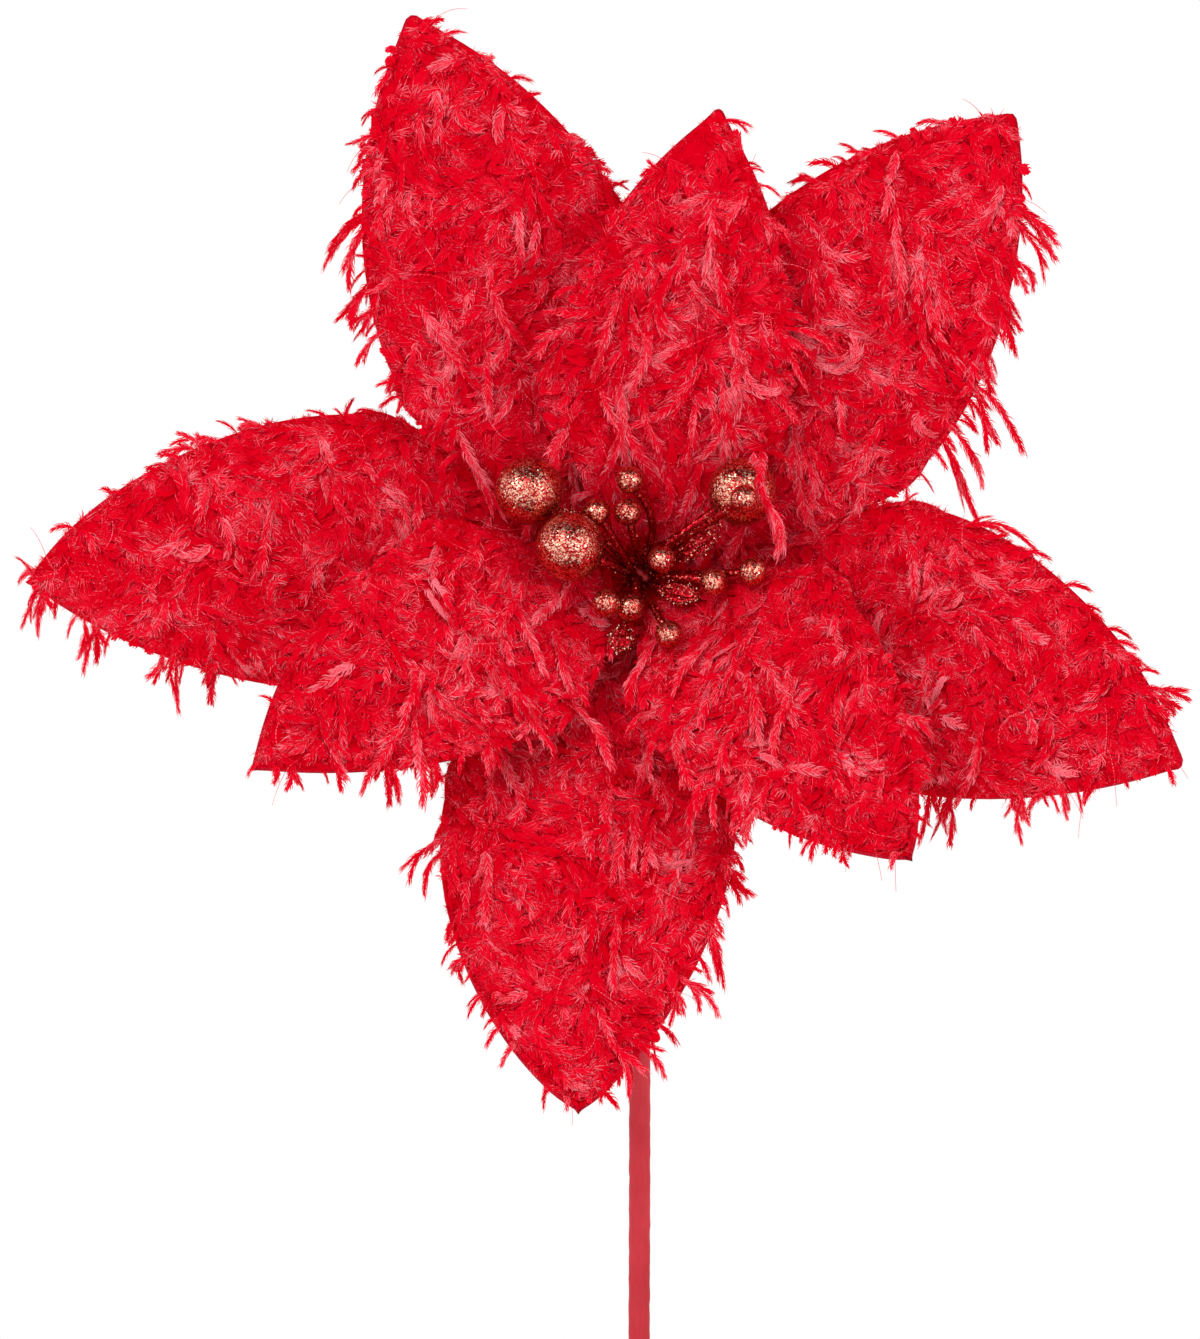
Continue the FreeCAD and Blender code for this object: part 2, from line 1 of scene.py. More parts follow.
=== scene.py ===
# %% [markdown]
# # A feathered poinsettia on a wire stem
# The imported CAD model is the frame: stem, wires, knot and joints stay where they are.
# Everything soft or sparkling is modelled around it here: cloth petals, their feathers,
# glitter berries and the paper tape. All lengths are in metres.

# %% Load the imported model
import json
import math
from collections import namedtuple

import bmesh
import bpy
import numpy as np
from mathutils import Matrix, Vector
from mathutils.geometry import convex_hull_2d

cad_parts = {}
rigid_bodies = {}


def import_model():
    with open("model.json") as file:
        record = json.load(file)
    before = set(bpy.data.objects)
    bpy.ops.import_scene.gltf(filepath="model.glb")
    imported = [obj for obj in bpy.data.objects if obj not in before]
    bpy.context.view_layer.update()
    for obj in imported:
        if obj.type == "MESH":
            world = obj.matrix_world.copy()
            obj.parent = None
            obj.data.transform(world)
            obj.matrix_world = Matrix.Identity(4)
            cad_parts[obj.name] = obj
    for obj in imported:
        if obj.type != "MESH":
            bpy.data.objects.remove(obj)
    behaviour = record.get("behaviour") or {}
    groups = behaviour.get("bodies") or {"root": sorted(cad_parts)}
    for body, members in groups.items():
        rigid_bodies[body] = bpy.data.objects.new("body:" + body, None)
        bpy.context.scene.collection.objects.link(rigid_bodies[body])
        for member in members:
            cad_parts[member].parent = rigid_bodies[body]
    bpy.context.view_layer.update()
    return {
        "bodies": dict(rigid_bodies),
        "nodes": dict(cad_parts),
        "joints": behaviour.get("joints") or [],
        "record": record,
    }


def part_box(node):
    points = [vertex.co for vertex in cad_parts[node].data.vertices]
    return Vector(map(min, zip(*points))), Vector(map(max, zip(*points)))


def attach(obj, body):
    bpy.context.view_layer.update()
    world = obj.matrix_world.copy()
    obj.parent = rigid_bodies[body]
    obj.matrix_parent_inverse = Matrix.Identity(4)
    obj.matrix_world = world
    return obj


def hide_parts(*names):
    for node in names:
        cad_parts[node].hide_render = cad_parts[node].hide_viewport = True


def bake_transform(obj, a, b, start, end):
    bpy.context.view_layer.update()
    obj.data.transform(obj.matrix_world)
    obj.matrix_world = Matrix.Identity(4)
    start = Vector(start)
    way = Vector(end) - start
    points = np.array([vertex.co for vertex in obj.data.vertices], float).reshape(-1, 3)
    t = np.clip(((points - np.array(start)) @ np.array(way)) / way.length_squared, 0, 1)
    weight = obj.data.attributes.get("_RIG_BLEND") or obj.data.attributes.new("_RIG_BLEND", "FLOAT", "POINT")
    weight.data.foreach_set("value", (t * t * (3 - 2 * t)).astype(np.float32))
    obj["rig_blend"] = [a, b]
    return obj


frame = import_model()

MM = 0.001
joints = {joint["name"]: joint for joint in frame["joints"]}
petals = sorted(name for name in frame["bodies"] if name.startswith("petal_"))
inner_petals = [name for name in petals if "_inner_" in name]
print(len(frame["nodes"]), "CAD nodes,", len(petals), "petals")

# %% [markdown]
# ## Camera, light and floor
# The view is from straight in front with a long lens: the camera stands 3 m away, and the lens
# is worked out from the height that the frame has to cover at the flower.
# The studio is a bright white world. Mirrored in the glitter balls it is one broad white screen
# in front with a dark red gap above and below it, and those gaps give the balls their dark spots.
# The floor is left out of reflections, because it would fill the lower gap.

# %% Place the camera
VIEW_HEIGHT = 393.7 * MM
VIEW_DISTANCE = 3.0
FLOWER_DEPTH = 70 * MM
VIEW_LEFT = 11.8 * MM
VIEW_BELOW = 27.2 * MM
hinges = np.array([joints[name + "_hinge"]["pos_m"] for name in petals if name not in inner_petals])
head_centre = Vector(hinges.mean(axis=0))

camera_data = bpy.data.cameras.new("camera")
camera_data.sensor_width = 36
camera_data.lens = camera_data.sensor_width * (VIEW_DISTANCE - FLOWER_DEPTH) / VIEW_HEIGHT
camera_data.clip_end = 20
camera = bpy.data.objects.new("camera", camera_data)
camera.location = (-VIEW_LEFT, -VIEW_DISTANCE, head_centre.z - VIEW_BELOW)
camera.rotation_euler = (math.pi / 2, 0, 0)
bpy.context.scene.collection.objects.link(camera)
bpy.context.scene.camera = camera
bpy.context.scene.view_settings.view_transform = "Standard"
print("lens", round(camera_data.lens, 1), "mm")


# %% Colours and nodes
def colour(code):
    """An sRGB hex code as the linear colour, with alpha, that Blender's sockets take."""
    parts = [int(code[i:i + 2], 16) / 255 for i in (1, 3, 5)]
    return [p / 12.92 if p <= 0.04045 else ((p + 0.055) / 1.055) ** 2.4 for p in parts] + [1.0]


def add_node(tree, kind, inputs=None, **settings):
    """Add a node, set its properties, and fill or link its sockets by name or number."""
    made = tree.nodes.new(kind)
    for name, value in settings.items():
        setattr(made, name, value)
    for key, value in (inputs or {}).items():
        if isinstance(value, bpy.types.NodeSocket):
            tree.links.new(value, made.inputs[key])
        else:
            made.inputs[key].default_value = value
    return made


# %% Light the studio
SCREEN = ((0.0, 0.02), (0.12, 0.02), (0.19, 1.0), (0.80, 1.0), (0.85, 0.02), (0.98, 0.02))
LIGHT = (0.94, 0.94, 0.94, 1)
WHITE = (1, 1, 1, 1)
world = bpy.data.worlds.new("studio")
world.use_nodes = True
bpy.context.scene.world = world
sky = world.node_tree
backdrop = sky.nodes["Background"]
direction = add_node(sky, "ShaderNodeTexCoord").outputs["Generated"]
height = add_node(sky, "ShaderNodeSeparateXYZ", {0: direction}).outputs["Z"]
level = add_node(sky, "ShaderNodeMapRange", {0: height, 1: -1.0, 2: 1.0}).outputs[0]
band = add_node(sky, "ShaderNodeValToRGB", {0: level})
for place, shade in SCREEN:
    band.color_ramp.elements.new(place).color = (shade, shade ** 1.3, shade ** 1.3, 1)
rays = add_node(sky, "ShaderNodeLightPath").outputs
lit = add_node(sky, "ShaderNodeMixRGB",
               {"Fac": rays["Is Glossy Ray"], "Color1": LIGHT, "Color2": band.outputs["Color"]})
seen = add_node(sky, "ShaderNodeMixRGB",
                {"Fac": rays["Is Camera Ray"], "Color1": lit.outputs["Color"], "Color2": WHITE})
sky.links.new(seen.outputs["Color"], backdrop.inputs["Color"])
backdrop.inputs["Strength"].default_value = 1.0


def area_light(name, place, size, power):
    data = bpy.data.lights.new(name, "AREA")
    data.size = size
    data.energy = power
    lamp = bpy.data.objects.new(name, data)
    lamp.location = place
    lamp.rotation_euler = (head_centre - Vector(place)).to_track_quat("-Z", "Y").to_euler()
    bpy.context.scene.collection.objects.link(lamp)


area_light("key_light", (-0.9, -1.6, 1.5), size=0.7, power=10)
area_light("fill_light", (1.3, -1.5, 0.8), size=0.9, power=5)
print(len(bpy.data.lights), "lamps aimed at the flower's middle")


# %% Lay the floor
def finished(shape, name):
    """The mesh of a bmesh, which is then freed."""
    mesh = bpy.data.meshes.new(name)
    shape.to_mesh(mesh)
    shape.free()
    return mesh


FLOOR_RADIUS = 1.2
shape = bmesh.new()
bmesh.ops.create_circle(shape, cap_ends=True, segments=96, radius=FLOOR_RADIUS)
floor = bpy.data.objects.new("floor", finished(shape, "floor"))
bpy.context.scene.collection.objects.link(floor)
floor.visible_glossy = False
print("floor", 2 * FLOOR_RADIUS, "m across")


# %% [markdown]
# ## Finishes
# Each material starts from what the real one is. Dyed feathers scatter light softly, and the pink
# at their frayed tips is a painted highlight in their colour; the knit behind them is matt; glitter is metal
# foil.


# %% Shared material steps
def new_material(name, roughness, metallic=0.0, specular=0.5):
    material = bpy.data.materials.new(name)
    material.use_nodes = True
    shader = material.node_tree.nodes["Principled BSDF"]
    shader.inputs["Roughness"].default_value = roughness
    shader.inputs["Metallic"].default_value = metallic
    shader.inputs["Specular IOR Level"].default_value = specular
    return material, material.node_tree, shader


def tint(tree, shader, value, stops):
    """Colour the surface by a value, through stops of (value, sRGB code)."""
    made = add_node(tree, "ShaderNodeValToRGB", {"Fac": value})
    elements = made.color_ramp.elements
    while len(elements) > 1:
        elements.remove(elements[-1])
    elements[0].position = stops[0][0]
    elements[0].color = colour(stops[0][1])
    for place, code in stops[1:]:
        elements.new(place).color = colour(code)
    tree.links.new(made.outputs["Color"], shader.inputs["Base Color"])


def own_place(tree):
    return add_node(tree, "ShaderNodeTexCoord").outputs["Object"]


def attribute(tree, name):
    return add_node(tree, "ShaderNodeAttribute", attribute_name=name).outputs["Fac"]


def calculate(tree, operation, *values):
    return add_node(tree, "ShaderNodeMath", dict(enumerate(values)), operation=operation).outputs[0]


def calculate_vector(tree, operation, inputs):
    return add_node(tree, "ShaderNodeVectorMath", inputs, operation=operation).outputs[0]


def noise(tree, grain, detail=2.0, where=None):
    """Noise whose blobs are about grain metres across."""
    inputs = {"Vector": where or own_place(tree), "Scale": 0.5 / grain, "Detail": detail}
    return add_node(tree, "ShaderNodeTexNoise", inputs).outputs["Fac"]


def bump(tree, shader, height, depth, strength=1.0):
    made = add_node(tree, "ShaderNodeBump", {"Height": height, "Distance": depth, "Strength": strength})
    tree.links.new(made.outputs["Normal"], shader.inputs["Normal"])


def grained(name, roughness, grain, stops, depth=0.0, detail=2.0, metallic=0.0, specular=0.5):
    """A finish with one fine grain, which shades its colour and stands up by depth."""
    material, tree, shader = new_material(name, roughness, metallic, specular)
    pattern = noise(tree, grain, detail)
    tint(tree, shader, pattern, stops)
    if depth:
        bump(tree, shader, pattern, depth)
    return material


# %% Dyed feather
def make_feather():
    """Dyed turkey marabou: deep red where barbs lie together, with a painted highlight that turns single tips
    and parts of each vane pink.
    """
    material, tree, shader = new_material("dyed_marabou_feather_painted_highlights", 0.65, specular=0.0)
    spacing = 0.6 * MM      # barbs are 0.2 mm apart, drawn coarser so that they show
    barbs = add_node(tree, "ShaderNodeTexNoise",
                     {"W": attribute(tree, "stripe"), "Scale": 1 / spacing, "Detail": 1.0},
                     noise_dimensions="1D").outputs["Fac"]
    highlight_patches = noise(tree, 5 * MM)       # painted highlight: a noise lightens parts of each vane, as if they faced the light
    lit = calculate(tree, "MULTIPLY_ADD", highlight_patches, 0.9, attribute(tree, "tone"))
    mixed = calculate(tree, "MULTIPLY_ADD", barbs, 1.4, lit)
    level = calculate(tree, "SUBTRACT", mixed, 0.70)
    # the ramp runs from the dye's deep red up to a painted pink highlight at its top
    tint(tree, shader, level, [(0.10, "#CC0010"), (0.42, "#DC001C"), (0.70, "#E60E2C"), (0.90, "#F24458"),
                               (1.0, "#FA7C88")])
    bump(tree, shader, barbs, 0.2 * MM, 0.5)
    return material


def make_knit():
    """Warp knit polyester backing: fine ribs along the petal, crossed by shorter courses, the nap flat."""
    material, tree, shader = new_material("warp_knit_polyester", 0.85, specular=0.05)
    place = add_node(tree, "ShaderNodeUVMap", uv_map="UVMap").outputs["UV"]
    rib = 1.3 * MM          # drawn about twice the real 0.6 mm, so that it shows
    course = 1.0 * MM
    waves = math.tau / 20   # a wave texture of scale 1 repeats after this many metres
    ribs, courses = (
        add_node(tree, "ShaderNodeTexWave", {"Vector": place, "Scale": waves / spacing, "Distortion": 0.6},
                 bands_direction=way).outputs["Fac"]
        for spacing, way in ((rib, "Y"), (course, "X")))
    weave = calculate(tree, "MULTIPLY", ribs, courses)
    shade = calculate(tree, "MULTIPLY_ADD", weave, 0.5, noise(tree, 11 * MM, 3.0))
    tint(tree, shader, shade, [(0.30, "#A60012"), (0.60, "#C20A22"), (0.95, "#DA2038")])
    bump(tree, shader, weave, 0.35 * MM)
    return material


# %% Paper tape
def make_tape():
    """Crepe paper floral tape: matt, waxy and finely wrinkled along the stem."""
    material, tree, shader = new_material("waxed_crepe_paper_tape", 0.62, specular=0.2)
    stretched = {"Vector": own_place(tree), "Scale": (1, 1, 0.18)}
    fibres = add_node(tree, "ShaderNodeMapping", stretched).outputs["Vector"]
    wrinkle = noise(tree, 0.5 * MM, 3.0, fibres)
    shade = calculate(tree, "MULTIPLY_ADD", wrinkle, 0.35, noise(tree, 14 * MM))
    tint(tree, shader, shade, [(0.4, "#B4242E"), (0.9, "#D03A44")])
    bump(tree, shader, wrinkle, 0.12 * MM)
    return material


# %% Glitter
def make_glitter_coat(name, stops):
    """Foil flakes in clear lacquer: every cell of the pattern is one flake with its own tilt and tint."""
    material, tree, shader = new_material(name, 0.3, metallic=1.0)
    flake = 0.42 * MM       # real flakes are 0.2 mm, drawn larger so that they show
    pattern = {"Vector": own_place(tree), "Scale": 1 / flake}
    cells = add_node(tree, "ShaderNodeTexVoronoi", pattern).outputs["Color"]
    tint(tree, shader, add_node(tree, "ShaderNodeSeparateColor", {0: cells}).outputs[0], stops)
    centred = calculate_vector(tree, "SUBTRACT", {0: cells, 1: (0.5, 0.5, 0.5)})
    tilt = calculate_vector(tree, "SCALE", {0: centred, "Scale": 0.36})
    level = add_node(tree, "ShaderNodeNewGeometry").outputs["Normal"]
    leaning = calculate_vector(tree, "ADD", {0: level, 1: tilt})
    tree.links.new(calculate_vector(tree, "NORMALIZE", {0: leaning}), shader.inputs["Normal"])
    return material


def make_flakes():
    """Loose punched foil flakes: bright metal, from deep red through copper to champagne."""
    material, tree, shader = new_material("punched_foil_flakes", 0.2, metallic=1.0)
    tint(tree, shader, attribute(tree, "tone"), [(0.0, "#7A0410"), (0.35, "#C83038"), (0.55, "#F09078"),
                                                 (0.8, "#FFC8A8"), (1.0, "#FFEAD8")])
    return material


# %% Make the finishes
feather = make_feather()
knit = make_knit()
tape = make_tape()
flakes = make_flakes()
# the balls' coat: dark red, copper and champagne flakes side by side
ball_coat = make_glitter_coat("copper_glitter_coat", [(0.0, "#8A0010"), (0.38, "#B81828"), (0.60, "#E06858"),
                                                     (0.8, "#FFBC9C"), (1.0, "#FFDCC4")])
# the twigs' and leaves' coat: red, with a rare copper spark
red_coat = make_glitter_coat("red_glitter_coat", [(0.0, "#7A040E"), (0.6, "#B81020"), (0.92, "#D83840"),
                                                  (1.0, "#FFB090")])
# cut velvet, the feather cloth's ground, which shows as a matt deep red between the tufts
ground = grained("dyed_velvet_ground", 0.9, 1.2 * MM, [(0.3, "#CC0012"), (0.7, "#E00020")], 0.8 * MM,
                 detail=4.0, specular=0.0)
# bare steel with fine drawing marks, in the stem
steel = grained("galvanised_drawn_wire", 0.38, 0.4 * MM, [(0.3, "#8C8D90"), (0.7, "#B9BABC")], 0.03 * MM,
                detail=3.0, metallic=1.0)
# florist's wire in red enamel, as no bare steel shows between the petals
coated = grained("red_enamelled_wire", 0.45, 0.6 * MM, [(0.3, "#7C0410"), (0.7, "#9A0A18")], 0.03 * MM)
# smooth dyed tube, a little glossy where it ends under the tape
sleeve = grained("extruded_polyethylene", 0.42, 1.5 * MM, [(0.3, "#9C1420"), (0.7, "#AE1C28")], 0.05 * MM)
# plain off-white paper, which takes the soft shadow
floor.data.materials.append(grained("matt_paper_floor", 0.9, 0.2, [(0.3, "#F2F2F2"), (0.7, "#F5F5F5")]))
print(len(bpy.data.materials), "materials")

# %% Finish the CAD nodes that show as they are
NODE_FINISHES = {"steel_wire": coated, "plastic_sleeve": sleeve, "paper_tape": tape, "red_felt": knit,
                 "feather_cloth": ground, "glitter_ball": ball_coat, "glitter_twig": red_coat,
                 "glitter_leaf": red_coat}
slots = {part["node"]: part["material_slot"] for part in frame["record"]["subparts"]}
for name, thing in frame["nodes"].items():
    thing.data.materials.clear()
    thing.data.materials.append(steel if name in ("stem_wire", "neck_wire") else NODE_FINISHES[slots[name]])
print(len(slots), "CAD nodes finished")


# %% [markdown]
# ## The petals' shape
# Every petal is a flat cloth cut to a pointed outline and bent by its wire. The hinge of each
# petal gives the frame: x runs to the tip, y across and z out of the front. The outline is read
# from the CAD felt, then the cloth gets what a stiff solid lacks: cupped edges, a drooping
# tip and soft ripples.

# %% Petal frames
def node_points(name):
    mesh = frame["nodes"][name].data
    points = np.empty(len(mesh.vertices) * 3)
    mesh.vertices.foreach_get("co", points)
    return points.reshape(-1, 3)


class Petal:
    """The frame and outline of one petal, and its surface as a function."""

    def __init__(self, name, looks):
        self.name = name
        self.looks = looks
        joint = joints[name + "_hinge"]
        self.hinge = np.array(joint["pos_m"])
        self.across = -np.array(joint["axis"])
        felt = node_points(name + "_felt") - self.hinge
        reach = np.linalg.norm(felt, axis=1)
        to_tip = felt[reach > reach.max() - 0.3 * MM].mean(axis=0)
        to_tip -= self.across * (to_tip @ self.across)
        self.length = np.linalg.norm(to_tip)
        self.along = to_tip / self.length
        self.front = np.cross(self.along, self.across)
        self.axes = np.array([self.along, self.across, self.front])
        local = felt @ self.axes.T
        wire = (node_points(name + "_wire") - self.hinge) @ self.axes.T
        self.rise = wire[:, 2].max()
        self.wire_end = wire[:, 0].max()
        hull = local[convex_hull_2d([tuple(p[:2]) for p in local])]
        left = hull[hull[:, 1] > -0.01 * MM]
        right = hull[hull[:, 1] < 0.01 * MM]
        self.left = left[left[:, 0].argsort()]
        self.right = right[right[:, 0].argsort()]
        self.root = local[:, 0].min()

    def widths(self, x):
        """Half width on the left and on the right at x. The cloth is fuller than the felt near the middle."""
        fuller = 1 + 0.22 * np.clip(1 - x / (0.45 * self.length), 0, 1) ** 0.6
        shrunk = np.sin(math.pi * np.clip(x / self.length, 0, 1) ** 2.2)
        slim_left, slim_right = self.looks["slim"]
        left = np.interp(x, self.left[:, 0], self.left[:, 1]) * fuller - slim_left * MM * shrunk
        right = -np.interp(x, self.right[:, 0], self.right[:, 1]) * fuller - slim_right * MM * shrunk
        return np.maximum(left, 0), np.maximum(right, 0)

    def place(self, x, y, lift):
        """World positions of points at x, y in the petal's plan, lift above the middle of its thickness."""
        looks = self.looks
        cup_left, cup_right = (millimetres * MM for millimetres in looks["cup"])
        tip = looks["tip"] * MM
        run = np.clip(x / self.length, 0, 1)
        left, right = self.widths(x)
        side = np.where(y > 0, y / np.maximum(left, 1 * MM), y / np.maximum(right, 1 * MM))
        cup = np.where(y > 0, cup_left, cup_right) * np.clip(np.abs(side), 0, 1.6) ** 2
        z = 4 * self.rise * run * (1 - run) + cup * np.sin(math.pi * np.clip(run, 0, 1) ** 0.8)
        z = z + tip * np.clip((x - self.wire_end) / (self.length - self.wire_end), 0, 1.2) ** 2
        z = z + tip * np.clip(x / self.length - 0.5, 0, 0.5) * np.clip(np.abs(side), 0, 1)
        ripple = np.sin(x / (19 * MM) + looks["phase"]) * np.sin(y / (15 * MM) + 2 * looks["phase"])
        z = z + 1.1 * MM * ripple * np.clip(np.abs(side), 0, 1)
        local = np.stack([x, y, z + lift], axis=-1)
        return self.hinge + local @ self.axes

    def frame_at(self, x, y, lift):
        """Position, unit tangents along and across, and unit normal out of the front."""
        step = 0.5 * MM
        here = self.place(x, y, lift)
        along = self.place(x + step, y, lift) - here
        across = self.place(x, y + step, lift) - here
        along /= np.linalg.norm(along, axis=-1, keepdims=True)
        normal = np.cross(along, across)
        normal /= np.linalg.norm(normal, axis=-1, keepdims=True)
        return here, along, np.cross(normal, along), normal


# %% Give each petal its looks
# All lengths here are in millimetres, and pairs are (left, right). slim comes off the half widths
# near the tip, cup lifts the edges and tip curls the end; phase shifts the ripples. hanging is the
# number of long plumes that hang down the face. Each group of strands over the edge is (share of
# the length, side, reach), where side 1 is the petal's left and -1 its right. A drape is (share of
# the length, share of the half width, ball, and two places to the right of and above the ball's
# centre: where the plume passes over it and where it ends).
LOOKS = {
    "petal_upper_left": dict(
        slim=(3.5, 2.5), cup=(-3, 2), tip=-1, phase=0.3, hanging=16,
        strands=((0.82, 1, 7), (0.71, 1, 22), (0.61, 1, 18), (0.56, 1, 14), (0.68, -1, 7), (0.90, -1, 6))),
    "petal_upper_right": dict(
        slim=(1, 2.5), cup=(2, -3), tip=0, phase=1.4, hanging=20,
        strands=((0.88, -1, 24), (0.79, -1, 15), (0.75, -1, 17), (0.66, -1, 14), (0.60, -1, 32),
                 (0.50, -1, 30), (0.70, 1, 12), (0.79, 1, 8))),
    "petal_left": dict(
        slim=(2.5, 5), cup=(3, -4), tip=-1, phase=2.2, hanging=8,
        strands=((0.67, -1, 12), (0.53, -1, 14), (0.97, 1, 13), (0.88, 1, 17), (0.75, 1, 15), (0.68, 1, 10))),
    "petal_right": dict(
        slim=(4, 2), cup=(-3, 2), tip=-1, phase=3.1, hanging=8,
        strands=((0.64, -1, 20), (0.76, -1, 13), (0.83, -1, 11), (0.81, 1, 13), (0.89, 1, 14),
                 (0.46, 1, 24))),
    "petal_bottom": dict(
        slim=(1.5, 0), cup=(2, 2), tip=3, phase=4.0, hanging=16,
        strands=((0.53, -1, 19), (0.66, -1, 8), (0.74, -1, 9), (0.53, 1, 15), (0.63, 1, 22), (0.74, 1, 17),
                 (0.88, 1, 14))),
    "petal_inner_top": dict(
        slim=(0, 0), cup=(2, 0.5), tip=-1, phase=5.2, hanging=26,
        strands=((0.86, 1, 6), (0.78, -1, 8), (0.55, -1, 20), (0.45, 1, 16)),
        drapes=((0.31, -0.75, "ball_upper_right", (7.0, 0), (9.5, -24)),)),
    "petal_inner_lower_left": dict(
        slim=(2.5, 0), cup=(5, -2), tip=-1, phase=0.9, hanging=12,
        strands=((0.75, 1, 14), (0.66, 1, 13), (0.93, 1, 7), (0.5, 1, 14))),
    "petal_inner_lower_right": dict(
        slim=(0, 0), cup=(5, 3), tip=2, phase=2.7, hanging=10,
        strands=((0.54, -1, 16), (0.64, -1, 11), (0.74, 1, 12), (0.85, -1, 6))),
}
shapes = {name: Petal(name, LOOKS[name]) for name in petals}
for petal in shapes.values():
    print(petal.name, "length", round(petal.length / MM), "mm, rise", round(petal.rise / MM, 1), "mm")


# %% [markdown]
# ## Cloth
# A grid is the simplest sheet. Its columns are squeezed to the outline and each point is laid on
# the petal's surface; Solidify then gives the cloth its thickness.

# %% Steps that every sheet shares
def shown(mesh, name, material, body):
    """Make a piece of a finished mesh, and let it ride on a body if one is named."""
    for face in mesh.polygons:
        face.use_smooth = True
    piece = bpy.data.objects.new(name, mesh)
    mesh.materials.append(material)
    bpy.context.scene.collection.objects.link(piece)
    if body:
        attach(piece, body)
    return piece


def weld(shape, gap):
    bmesh.ops.remove_doubles(shape, verts=shape.verts, dist=gap)
    bmesh.ops.recalc_face_normals(shape, faces=shape.faces)


def thicken(shape, thickness):
    bmesh.ops.solidify(shape, geom=list(shape.faces), thickness=thickness)
    bmesh.ops.recalc_face_normals(shape, faces=shape.faces)


# %% Cut and lay the cloth
LENGTHWISE = 72
CROSSWISE = 28
FELT_HALF = 1.2 * MM
CLOTH = 1.1 * MM
WIRE_RIB = 1.1 * MM         # how far the wire's channel stands out behind a backing
RIB_HALF = 1.6 * MM
WELD = 0.02 * MM


def sheet_mesh(petal, name, lift, thickness, rib=0.0):
    """A closed sheet cut to the petal's outline, its lower face lift above the wire's line."""
    shape = bmesh.new()
    bmesh.ops.create_grid(shape, x_segments=LENGTHWISE, y_segments=CROSSWISE, size=1)
    uv = shape.loops.layers.uv.new("UVMap")
    flat = {}
    for vertex in shape.verts:
        run = (vertex.co.x + 1) / 2
        x = petal.root + (petal.length - petal.root) * (1 - (1 - run) ** 1.25)
        left, right = petal.widths(x)
        share = abs(vertex.co.y) ** 1.8      # columns crowd to the middle, where the wire's rib is
        y = math.copysign(share, vertex.co.y) * (left if vertex.co.y > 0 else right)
        flat[vertex] = (x, y)
    for face in shape.faces:
        for loop in face.loops:
            loop[uv].uv = flat[loop.vert]
    xs, ys = np.array(list(flat.values())).T
    bulge = rib * np.exp(-(ys / RIB_HALF) ** 2) * np.clip((petal.length - xs) / (12 * MM), 0, 1)
    for vertex, place in zip(flat, petal.place(xs, ys, lift - bulge)):
        vertex.co = place
    weld(shape, WELD)
    if sum((face.normal.dot(Vector(petal.front)) for face in shape.faces)) < 0:
        bmesh.ops.reverse_faces(shape, faces=shape.faces)
    thicken(shape, -thickness)
    return finished(shape, name)


def cut_area(petal):
    """The area of the flat cloth, as a sum of narrow strips."""
    xs = np.linspace(petal.root, petal.length, 200)
    left, right = petal.widths(xs)
    wide = left + right
    return float((np.diff(xs) * (wide[1:] + wide[:-1]) / 2.0).sum())


for name, petal in shapes.items():
    back = sheet_mesh(petal, name + "_backing", -FELT_HALF, 2 * FELT_HALF - 0.1 * MM, rib=WIRE_RIB)
    shown(back, name + "_backing", knit, name)
    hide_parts(name + "_felt")
    cloth = sheet_mesh(petal, name + "_cloth", FELT_HALF, CLOTH)
    shown(cloth, name + "_cloth", ground, name)
    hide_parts(name + "_plush")


# %% [markdown]
# ## Feathers
# The cloth carries thousands of small marabou feathers. A few templates are built once with
# bmesh: a vane with a frayed edge, a frond with barbs on both sides, a tuft whose barbs fan out of
# one point, and a bare quill. Each has fewer than two hundred faces. Every copy gets its own line,
# which runs along the petal and hangs down where it passes the edge, and numpy bends the template
# along that line, because joining more than a million faces one by one would take minutes.

# %% Feather templates
def barb(shape, base, angle, length, width, tone, curl=0.0):
    """One thin tapering barb in millimetres: a grid strip, its far end merged to a point."""
    made = bmesh.ops.create_grid(shape, x_segments=2, y_segments=1, size=0.5)["verts"]
    tip = []
    for vertex in made:
        run = vertex.co.x + 0.5
        if run > 0.9:
            tip.append(vertex)
        turned = angle + curl * run
        heading = Vector((math.cos(turned), math.sin(turned), 0))
        side = Vector((-heading.y, heading.x, 0))
        vertex.co = base + heading * (length * run) + side * (width * (1 - 0.35 * run) * vertex.co.y)
        # painted highlight: the tone rises towards the barb's tip, so that lone tips turn pink
        vertex[shape.verts.layers.float["tone"]] = tone + 0.25 * run
    bmesh.ops.pointmerge(shape, verts=tip, merge_co=sum((v.co for v in tip), Vector()) / len(tip))


def build_quill(shape, _):
    for vertex in bmesh.ops.create_grid(shape, x_segments=8, y_segments=1, size=0.5)["verts"]:
        run = vertex.co.x + 0.5
        vertex.co = Vector((12 * run, 0.14 * 2 * vertex.co.y * (1 - 0.6 * run), 0))


